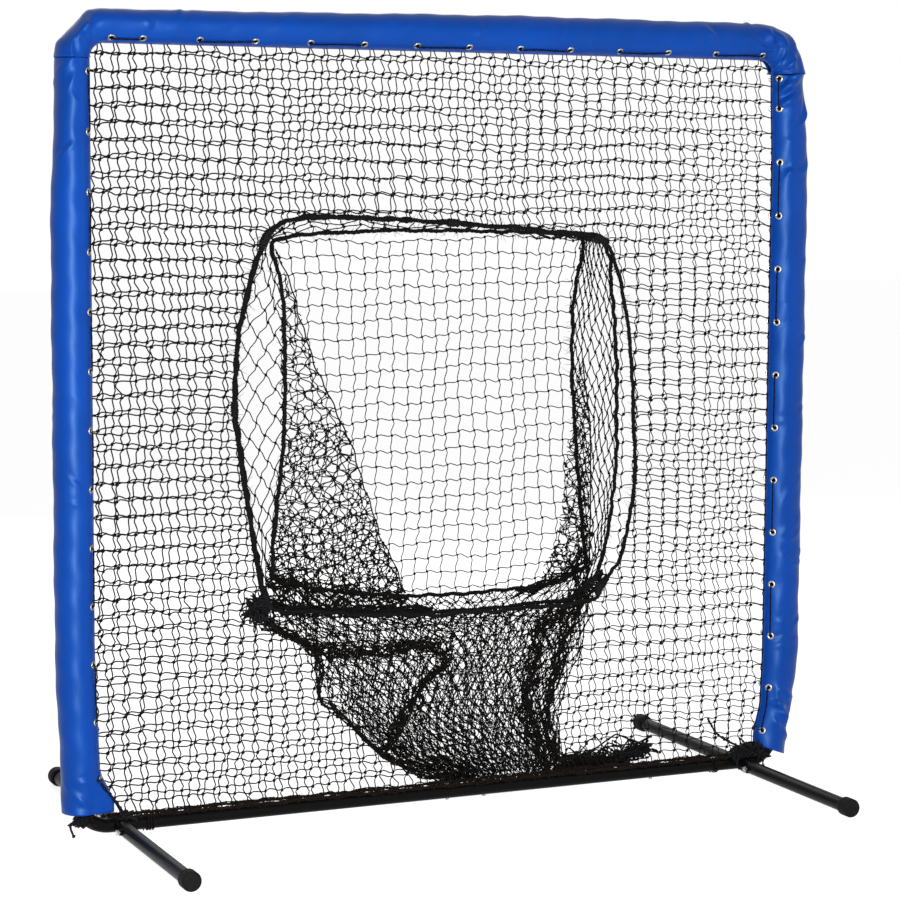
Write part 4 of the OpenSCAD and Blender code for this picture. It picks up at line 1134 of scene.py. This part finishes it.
class NET_OT_lacing(bpy.types.Operator):
    """Dark lacing cord that runs through the grommets of each cover"""
    bl_idname = "net.lacing"
    bl_label = "Lacing"

    def execute(self, context):
        mat = twine_material("Lacing cord", (0.004, 0.004, 0.005), 2.2)
        thick = sizes().lacing
        for seed, (name, (place, spots, *_)) in enumerate(pads().items()):
            rng = np.random.default_rng(seed + 31)
            path = lacing_path(spots, place)
            path = path + drift(path, 0.0012, 0.09, rng)
            build = Build()
            e1, e2 = moving_frames(path, False, (1.0, 0.0, 0.0))
            for k in range(2):
                angle = np.arange(len(path)) * 0.7 + k * math.pi
                add_tube(build, path + beside(angle, e1, e2) * thick * 0.16, thick * 0.33, 6)
            add_fibres(build, path, 60, rng, thick * 0.45, (0.003, 0.009), 0.0003)
            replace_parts(build.finish(f"lacing_{name}_cord", mat, "lacing_cord"), f"lacing_{name}")
        return {"FINISHED"}


class NET_OT_netting(bpy.types.Operator):
    """Front and back layers of knotted netting"""
    bl_idname = "net.netting"
    bl_label = "Netting"

    def execute(self, context):
        mat = net_finish()
        layers = (("front", -1, MOUTH_FRONT, 41, (0.0, 0.0)),
                  ("back", 1, MOUTH_BACK, 42, (-0.015, 0.009)))
        for name, side, route, seed, shift in layers:
            build = Build()
            rng = np.random.default_rng(seed)
            add_flat_net(build, side, sizes().mesh, mm(route), rng, shift, sizes().twine)
            obj = build.finish(f"{name}_netting", mat, "netting")
            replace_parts(obj, *[f"{name}_net_{part}" for part in ("top", "bottom", "left", "right")])
        return {"FINISHED"}


def net_finish():
    return shared("Knotted twine", twine_material, tuple(colours().netting), 2.2)


class NET_OT_ropes(bpy.types.Operator):
    """Ropes round the mouth in front and behind, and round the back of the sock"""
    bl_idname = "net.ropes"
    bl_label = "Ropes"

    def execute(self, context):
        mat = twine_material("Laid rope", tuple(colours().rope), 2.4, 0.85, 260.0)
        step = 0.006
        routes = (("mouth_rope_front", mouth_route(MOUTH_FRONT, -ROPE_Y), 51),
                  ("mouth_rope_back", mouth_route(MOUTH_BACK, ROPE_Y), 52),
                  ("sock_rope", mm(SOCK_BACK), 53))
        for node, route, seed in routes:
            rng = np.random.default_rng(seed)
            path = smooth_route(route, True, step)
            build = Build()
            add_rope(build, path, sizes().rope, rng)
            fibres = int(sizes().fibres * (len(path) * step))
            add_fibres(build, path, fibres, rng, sizes().rope / 2)
            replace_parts(build.finish(f"{node}_laid", mat, "rope"), node)
        return {"FINISHED"}


def add_wrap(build, path, radius, cord, turns, rng):
    """Cord or tape wound closely round a short stretch of path"""
    path = resample(path, int(turns * 14))
    e1, e2 = moving_frames(path, False)
    angle = np.linspace(0, turns * 2 * np.pi, len(path))
    swell = 1 + 0.12 * np.sin(angle * 0.37 + rng.uniform(0, 6)) + rng.normal(0, 0.02, len(path))
    add_tube(build, path + beside(angle, e1, e2) * (radius * swell)[:, None], cord, 6)


def add_bunch(build, route, radius, strands, rng, wave, thick):
    """Loose strands that run together along a route and cross one another"""
    step = 0.008
    path = smooth_route(mm(route), False, step)
    n = len(path)
    radius = np.interp(np.linspace(0, 1, n), np.linspace(0, 1, len(radius)), radius)
    e1, e2 = moving_frames(path, False)
    for _ in range(strands):
        gap = max(2, int(wave * rng.uniform(0.6, 1.5) / step))
        marks = np.arange(0, n + 2 * gap, gap)
        off = [np.interp(np.arange(n), marks, rng.normal(0, 0.85, len(marks))) * radius
               for _ in range(2)]
        centre = path + off[0][:, None] * e1 + off[1][:, None] * e2
        centre[1:-1] = (centre[:-2] + 2 * centre[1:-1] + centre[2:]) / 4
        centre[:, 2] = np.maximum(centre[:, 2], 0.0035)
        add_tube(build, centre, thick * rng.uniform(0.8, 1.25), 5)
        add_knots(build, centre[rng.integers(0, gap)::gap], thick * 2.3, rng)


def add_lump(build, centre, size, loops, rng, thick=0.002):
    """Tangle of cord with a few stray ends"""
    centre = np.array(centre)
    for _ in range(loops):
        ring = centre + rng.normal(0, 0.5, (6, 3)) * size
        ring[:, 2] = np.maximum(ring[:, 2], 0.004)
        add_tube(build, smooth_route(ring, True, 0.005), thick, 5, True)
    for _ in range(max(2, loops // 2)):
        away = unit(rng.normal(0, 1, 3)) * size * rng.uniform(1.2, 2.4)
        bend = rng.normal(0, 0.3, 3) * size
        end = centre + away
        end[2] = max(end[2], 0.004)
        add_tube(build, smooth_route([centre, centre + away * 0.5 + bend, end], False, 0.005),
                 thick * 0.8, 5)


class NET_OT_ties(bpy.types.Operator):
    """Wound ties at the mouth's corners, tape bands on the front rope and tangles at the rail"""
    bl_idname = "net.ties"
    bl_label = "Ties"

    def execute(self, context):
        mat = twine_material("Wound tape", (0.006, 0.006, 0.007), 2.0, 0.6, 200.0)
        rng = np.random.default_rng(61)
        build = Build()
        front = smooth_route(mouth_route(MOUTH_FRONT, -ROPE_Y), True, 0.004)
        back = smooth_route(mouth_route(MOUTH_BACK, ROPE_Y), True, 0.004)
        for x, z in (MOUTH_FRONT[i] for i in (0, 5, 11, 15)):
            ends = []
            for path, y in ((front, -ROPE_Y), (back, ROPE_Y)):
                i = nearest(path, (x / 1000, y, z / 1000))
                add_wrap(build, path[np.arange(i - 6, i + 7) % len(path)], 0.0072, 0.0026, 9, rng)
                ends.append(path[i])
            a, b = ends
            inward = unit(np.array((-0.04, 0, 1.07)) - a) * np.array((1, 0, 1)) * 0.006
            for _ in range(4):
                jitter = rng.normal(0, 0.002, 3)
                mid = (a + b) / 2 + inward + jitter
                tie = smooth_route([a + jitter, mid, b + jitter], False, 0.004)
                add_tube(build, tie, 0.0027, 6)
            add_fibres(build, np.array([a, a + 0.002]), 8, rng, 0.006, (0.012, 0.03), 0.0012)
        for x, z, reach in TAPE_BANDS:
            i = nearest(front, (x / 1000, -ROPE_Y, z / 1000))
            span = front[np.arange(i - reach, i + reach + 1) % len(front)]
            add_wrap(build, span, 0.0082, 0.0031, 7, rng)
            add_lump(build, front[i], 0.009, 3, rng)
        for centre, size, loops in MOUTH_TANGLES:
            add_lump(build, centre, size, loops, rng, 0.0028)
        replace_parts(build.finish("rope_ties_wound", mat, "tape"), "rope_ties")
        build = Build()
        for centre, size, loops in RAIL_TANGLES:
            add_lump(build, centre, size, loops, rng, 0.0031)
        for route in LOOSE_CORDS:
            add_bunch(build, route, (0.0012, 0.0016, 0.0012), 3, rng, 0.03, 0.0021)
        build.finish("corner_ties", mat, "tape")
        return {"FINISHED"}


def back_panel_knots():
    """Knots of the back panel, a little behind the sock's rope"""
    back, (height, left, right, _, left_y, right_y) = mm(SOCK_BACK), mm(POCKET[0])
    left_edge = [(left, left_y, height), *back[[17, 18, 19, 20, 0]]]
    right_edge = [(right, right_y, height), *back[[10, 9, 8, 6, 5]]]
    rows = ruled(np.array(left_edge), np.array(right_edge), 24, 23, "square")
    rows[..., 1] += 0.0072
    return rows


class NET_OT_sock_walls(bpy.types.Operator):
    """Side walls, roof and back panel of the sock"""
    bl_idname = "net.sock_walls"
    bl_label = "Sock walls"

    def execute(self, context):
        mat = net_finish()
        twine = sizes().twine
        front, back = mouth_route(MOUTH_BACK, ROPE_Y), mm(SOCK_BACK)
        # Node, its points on the mouth's rope and on the sock's rope, rows, columns, kind and seed
        walls = (("sock_left_wall", (15, 16, 17, 18, 0), (17, 18, 19, 20, 0), 26, 3, "diamond", 71),
                 ("sock_right_wall", range(5, 12), range(5, 12), 31, 7, "diamond", 72),
                 ("sock_roof", range(0, 6), range(0, 6), 24, 4, "square", 73))
        for node, front_ids, back_ids, rows, cols, kind, seed in walls:
            rng = np.random.default_rng(seed)
            knots = ruled(front[list(front_ids)], back[list(back_ids)], rows, cols, kind)
            middle = np.sin(np.linspace(0, np.pi, cols))[None, :, None]
            knots = knots + moved_knots(knots, 0.009, 0.14, rng) * middle
            build = Build()
            add_surface_net(build, knots, rng, kind, twine, 0.003)
            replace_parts(build.finish(f"{node}_net", mat, "netting"), node)
        rng = np.random.default_rng(74)
        rows = back_panel_knots()
        rows += moved_knots(rows, 0.006, 0.4, rng) * np.array((1, 0.6, 1))
        rows += rng.normal(0, 0.0016, rows.shape)
        build = Build()
        add_surface_net(build, rows, rng, "square", twine * 0.88, 0.0032)
        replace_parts(build.finish("sock_back_panel_net", mat, "netting"), "sock_back_panel")
        return {"FINISHED"}


# The sock's top edge where the pocket hangs from the ropes, from its right end round the front,
# in mm
POCKET_TOP = [
    (505, 130, 600), (450, 37, 572), (400, 37, 534), (-20, 37, 523), (-415, 37, 559),
    (-500, 37, 590), (-500, 60, 622), (-478, 82, 648), (-392, 92, 606), (-230, 108, 574),
    (-25, 130, 552), (170, 155, 546), (404, 190, 550), (520, 212, 590)]
# Gathered folds of the pocket: route, radius at its ends and middle, number of strands
FOLDS = [
    ([(-540, 10, 600), (-520, 60, 545), (-413, 62, 470), (-320, 60, 432), (-139, 60, 425),
      (-43, 60, 436), (9, 62, 413), (25, 62, 369), (-36, 66, 326), (-114, 76, 193),
      (-153, 84, 129)],
     (0.018, 0.014, 0.017, 0.014, 0.017), 10),
    ([(-510, 70, 556), (-493, 72, 520), (-400, 76, 466), (-340, 80, 392), (-342, 82, 300),
      (-261, 86, 230), (-144, 94, 120), (-10, 110, 52), (140, 120, 26)],
     (0.012, 0.007, 0.007, 0.010, 0.016), 6),
    ([(455, 45, 572), (400, 62, 520), (333, 66, 470), (303, 72, 362), (288, 80, 227), (337, 90, 84),
      (372, 110, 26)], (0.018, 0.020, 0.017, 0.016, 0.022), 10),
    ([(520, 60, 600), (480, 66, 560), (425, 70, 480), (382, 76, 321), (352, 84, 196), (385, 96, 94),
      (410, 120, 26)], (0.018, 0.018, 0.014, 0.012, 0.018), 9),
    ([(-505, 48, 578), (-415, 52, 560), (-200, 50, 546), (-20, 50, 530)],
     (0.026, 0.024, 0.016, 0.006), 11),
    ([(-470, 90, 640), (-392, 92, 602), (-230, 108, 574), (-60, 126, 556)],
     (0.028, 0.026, 0.019, 0.006), 9),
    ([(300, 176, 546), (404, 186, 552), (500, 210, 588), (538, 222, 650)],
     (0.006, 0.014, 0.016, 0.012), 8)]
# Outlines (x, z) of the slack folds beside the sock's back panel, in mm
LEFT_FOLD = [
    (-462, 1530), (-411, 1417), (-368, 1281), (-310, 1144), (-251, 1032), (-200, 892), (-146, 736),
    (-110, 664), (-66, 568), (-250, 580), (-400, 590), (-488, 610), (-480, 700), (-452, 900),
    (-444, 1000), (-440, 1180), (-450, 1420)]
RIGHT_FOLD = [
    (534, 1200), (552, 1052), (556, 819), (549, 614), (540, 560), (392, 550), (404, 590),
    (452, 700), (474, 881), (503, 1055), (522, 1190)]


def pocket_ring(level, count, turn, inset):
    """Evenly spaced points round the pocket at one height"""
    z, x0, x1, front, back_left, back_right = (v / 1000 for v in level)
    a = -np.linspace(0, 2 * np.pi, 241)
    u, v = (np.sign(side) * np.abs(side) ** 0.6 for side in (np.cos(a), np.sin(a)))
    x = (x0 + inset) + (x1 - x0 - 2 * inset) * (u + 1) / 2
    back = back_left + (back_right - back_left) * (x - x0) / (x1 - x0) - inset
    y = (front + inset) + (back - front - inset) * (v + 1) / 2
    return spaced(np.stack([x, y, np.full(len(a), z)], 1), count, turn)


def pocket_rows(count, inset, step):
    """Rings of the pocket from the ropes to the floor; odd ones are half a mesh further round"""
    levels = np.array(POCKET, dtype=float)
    order = np.argsort(levels[:, 0])
    top = mm(POCKET_TOP + POCKET_TOP[:1])
    heights = np.arange(0.46, 0.010, -step)
    rows = []
    for r in range(len(heights) + 4):
        turn = 0.5 * (r % 2)
        z = heights[max(r - 4, 0)] * 1000
        level = [z] + [np.interp(z, levels[order, 0], levels[order, k]) for k in range(1, 6)]
        t = min(r / 4, 1.0)
        rows.append(spaced(top, count, turn) * (1 - t) + pocket_ring(level, count, turn, inset) * t)
    return np.array(rows)


class NET_OT_pocket(bpy.types.Operator):
    """Gathered pocket of the sock, and the tail on the floor"""
    bl_idname = "net.pocket"
    bl_label = "Sock pocket and tail"

    def execute(self, context):
        mat = net_finish()
        rng = np.random.default_rng(81)
        build = Build()
        # Layers of the pocket from outside in: inset, meshes round it, step down and drift
        layers = ((0.004, 50, 0.026, 0.007), (0.028, 40, 0.030, 0.010), (0.052, 32, 0.036, 0.012))
        for inset, count, step, amount in layers:
            rows = pocket_rows(count, inset, step)
            moved = moved_knots(rows, amount, 0.11, rng)
            moved[:2] *= 0.3
            rows = rows + moved
            rows[..., 2] = np.maximum(rows[..., 2], 0.006)
            rows[..., 1] = np.maximum(rows[..., 1], 0.0335)
            add_surface_net(build, rows, rng, "diamond", sizes().twine * 0.82, 0.003, True, 3)
        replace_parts(build.finish("sock_pocket_net", mat, "netting"), "sock_pocket")
        build = Build()
        for route, radius, strands in FOLDS:
            add_bunch(build, route, radius, strands, rng, 0.038, 0.0022)
        build.finish("sock_pocket_gathers", mat, "netting")
        build = Build()
        stations = np.array(TAIL)
        route = np.column_stack([stations[:, 0], stations[:, 1], stations[:, 2] * 0.9])
        add_bunch(build, route, stations[:, 3] * 0.00062, 34, rng, 0.06, 0.0022)
        add_bunch(build, route[:5], (0.020, 0.016, 0.010), 12, rng, 0.03, 0.002)
        for _ in range(16):
            add_lump(build, mm(route[rng.integers(4, 7)]), 0.010, 1, rng, 0.0016)
        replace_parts(build.finish("sock_tail_net", mat, "netting"), "sock_tail")
        return {"FINISHED"}


class NET_OT_folds(bpy.types.Operator):
    """Slack netting that hangs in folds beside the sock's back panel"""
    bl_idname = "net.folds"
    bl_label = "Slack folds"

    def execute(self, context):
        mat = net_finish()
        twine = sizes().twine
        # Each fold: outline, points in its hem, depth and seed, then each layer's angle, mesh and top
        folds = {
            "left": (mm(LEFT_FOLD), 9, lambda x, z: 0.104 + 0.07 * (x + 0.46), 85,
                     ((0.35, 0.037, 9.0), (1.05, 0.040, 9.0), (0.75, 0.034, 1.05),
                      (0.15, 0.034, 0.80), (1.30, 0.032, 0.70))),
            "right": (mm(RIGHT_FOLD), 5, lambda x, z: 0.205 + 0.05 * (z - 0.6), 86,
                      ((0.30, 0.036, 9.0), (1.10, 0.034, 9.0), (0.70, 0.036, 9.0),
                       (0.10, 0.032, 0.80)))}
        for name, (outline, count, depth, seed, layers) in folds.items():
            rng = np.random.default_rng(seed)
            build = Build()
            for angle, pitch, top in layers:
                part = outline.copy()
                part[:, 1] = np.minimum(part[:, 1], top)
                add_patch(build, part, depth, angle, pitch, rng, twine * 0.94)
            x, z = outline[:count].T
            hem = smooth_route(np.stack([x, depth(x, z), z], 1), False, 0.012)
            add_tube(build, hem + drift(hem, 0.003, 0.12, rng), twine * 0.58, 5)
            build.finish(f"sock_{name}_folds", mat, "netting")
        return {"FINISHED"}


class NET_OT_border(bpy.types.Operator):
    """Frayed border cords on the bottom rail and their lashings"""
    bl_idname = "net.border"
    bl_label = "Border cords"

    def execute(self, context):
        mat = twine_material("Frayed cord", tuple(colours().cord), 2.6, 0.9, 240.0)
        rng = np.random.default_rng(91)
        build = Build()
        xs = np.arange(-BEND_X, BEND_X, 0.006)
        for side in (-1, 1):
            path = np.stack([xs, np.full(len(xs), side * BORDER_Y), np.full(len(xs), BORDER_Z)], 1)
            add_rope(build, path, BORDER_D, rng, False, 0.03, 0.0012)
            add_fibres(build, path, 420, rng, 0.0035, (0.004, 0.016), 0.0006)
            loose = path[::30] * 1000 + (0, side * 2, 1)
            add_bunch(build, loose, (0.0035, 0.005, 0.0035), 5, rng, 0.03, 0.0014)
        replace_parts(build.finish("net_border_cord_laid", mat, "border_cord"), "net_border_cord")
        build = Build()
        for start, turns in LASHINGS:
            k = np.arange(turns * LASHING_STEPS + 1)
            a = k * 2 * np.pi / LASHING_STEPS - np.pi / 2
            radius = lashing_radius(a) + LASHING_R
            x = start + LASHING_PITCH * k / LASHING_STEPS
            path = np.stack([x, radius * np.cos(a), RAIL_Z + radius * np.sin(a)], 1)
            thick = LASHING_R + rng.normal(0, 0.00008, len(path))
            add_tube(build, path, thick, 8, False, (1.0, 0.0, 0.0))
            add_fibres(build, path, 20, rng, LASHING_R, (0.004, 0.012), 0.0003)
        dark = twine_material("Dark cord", (0.006, 0.005, 0.004), 2.4, 0.85, 240.0)
        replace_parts(build.finish("rail_lashing_wound", dark, "border_cord"), "rail_lashing")
        return {"FINISHED"}


def lashing_radius(a):
    """Distance from the rail's axis to the inside of a lashing turn"""
    top, side, under = 0.02575, 0.02255, TUBE_R + 0.0006
    up = np.minimum(top / np.maximum(np.sin(a), 0.01), side / np.maximum(np.abs(np.cos(a)), 0.01))
    down = under + (side - under) * np.abs(np.cos(a)) ** 8
    return np.where(np.sin(a) > 0, up, down)


class NET_PT_panel(bpy.types.Panel):
    """Buttons that make the pieces"""
    bl_idname = "NET_PT_panel"
    bl_label = "Target Net"
    bl_space_type = "VIEW_3D"
    bl_region_type = "UI"
    bl_category = "Target Net"

    def draw(self, context):
        for group in (context.scene.net_sizes, context.scene.net_colours):
            for name in group.__annotations__:
                self.layout.prop(group, name)
        for operator in STEPS:
            self.layout.operator(operator.bl_idname)


STEPS = (
    NET_OT_stage, NET_OT_frame_finish, NET_OT_foam, NET_OT_covers, NET_OT_grommets, NET_OT_lacing,
    NET_OT_netting, NET_OT_ropes, NET_OT_ties, NET_OT_sock_walls, NET_OT_folds, NET_OT_pocket,
    NET_OT_border)
CLASSES = (NetColours, NetSizes) + STEPS + (NET_PT_panel,)


def register():
    for cls in CLASSES:
        bpy.utils.register_class(cls)
    bpy.types.Scene.net_sizes = PointerProperty(type=NetSizes)
    bpy.types.Scene.net_colours = PointerProperty(type=NetColours)


def unregister():
    del bpy.types.Scene.net_colours
    del bpy.types.Scene.net_sizes
    for cls in reversed(CLASSES):
        bpy.utils.unregister_class(cls)


def main():
    register()
    for step in STEPS:
        group, name = step.bl_idname.split(".")
        getattr(getattr(bpy.ops, group), name)()


if __name__ == "__main__":
    main()
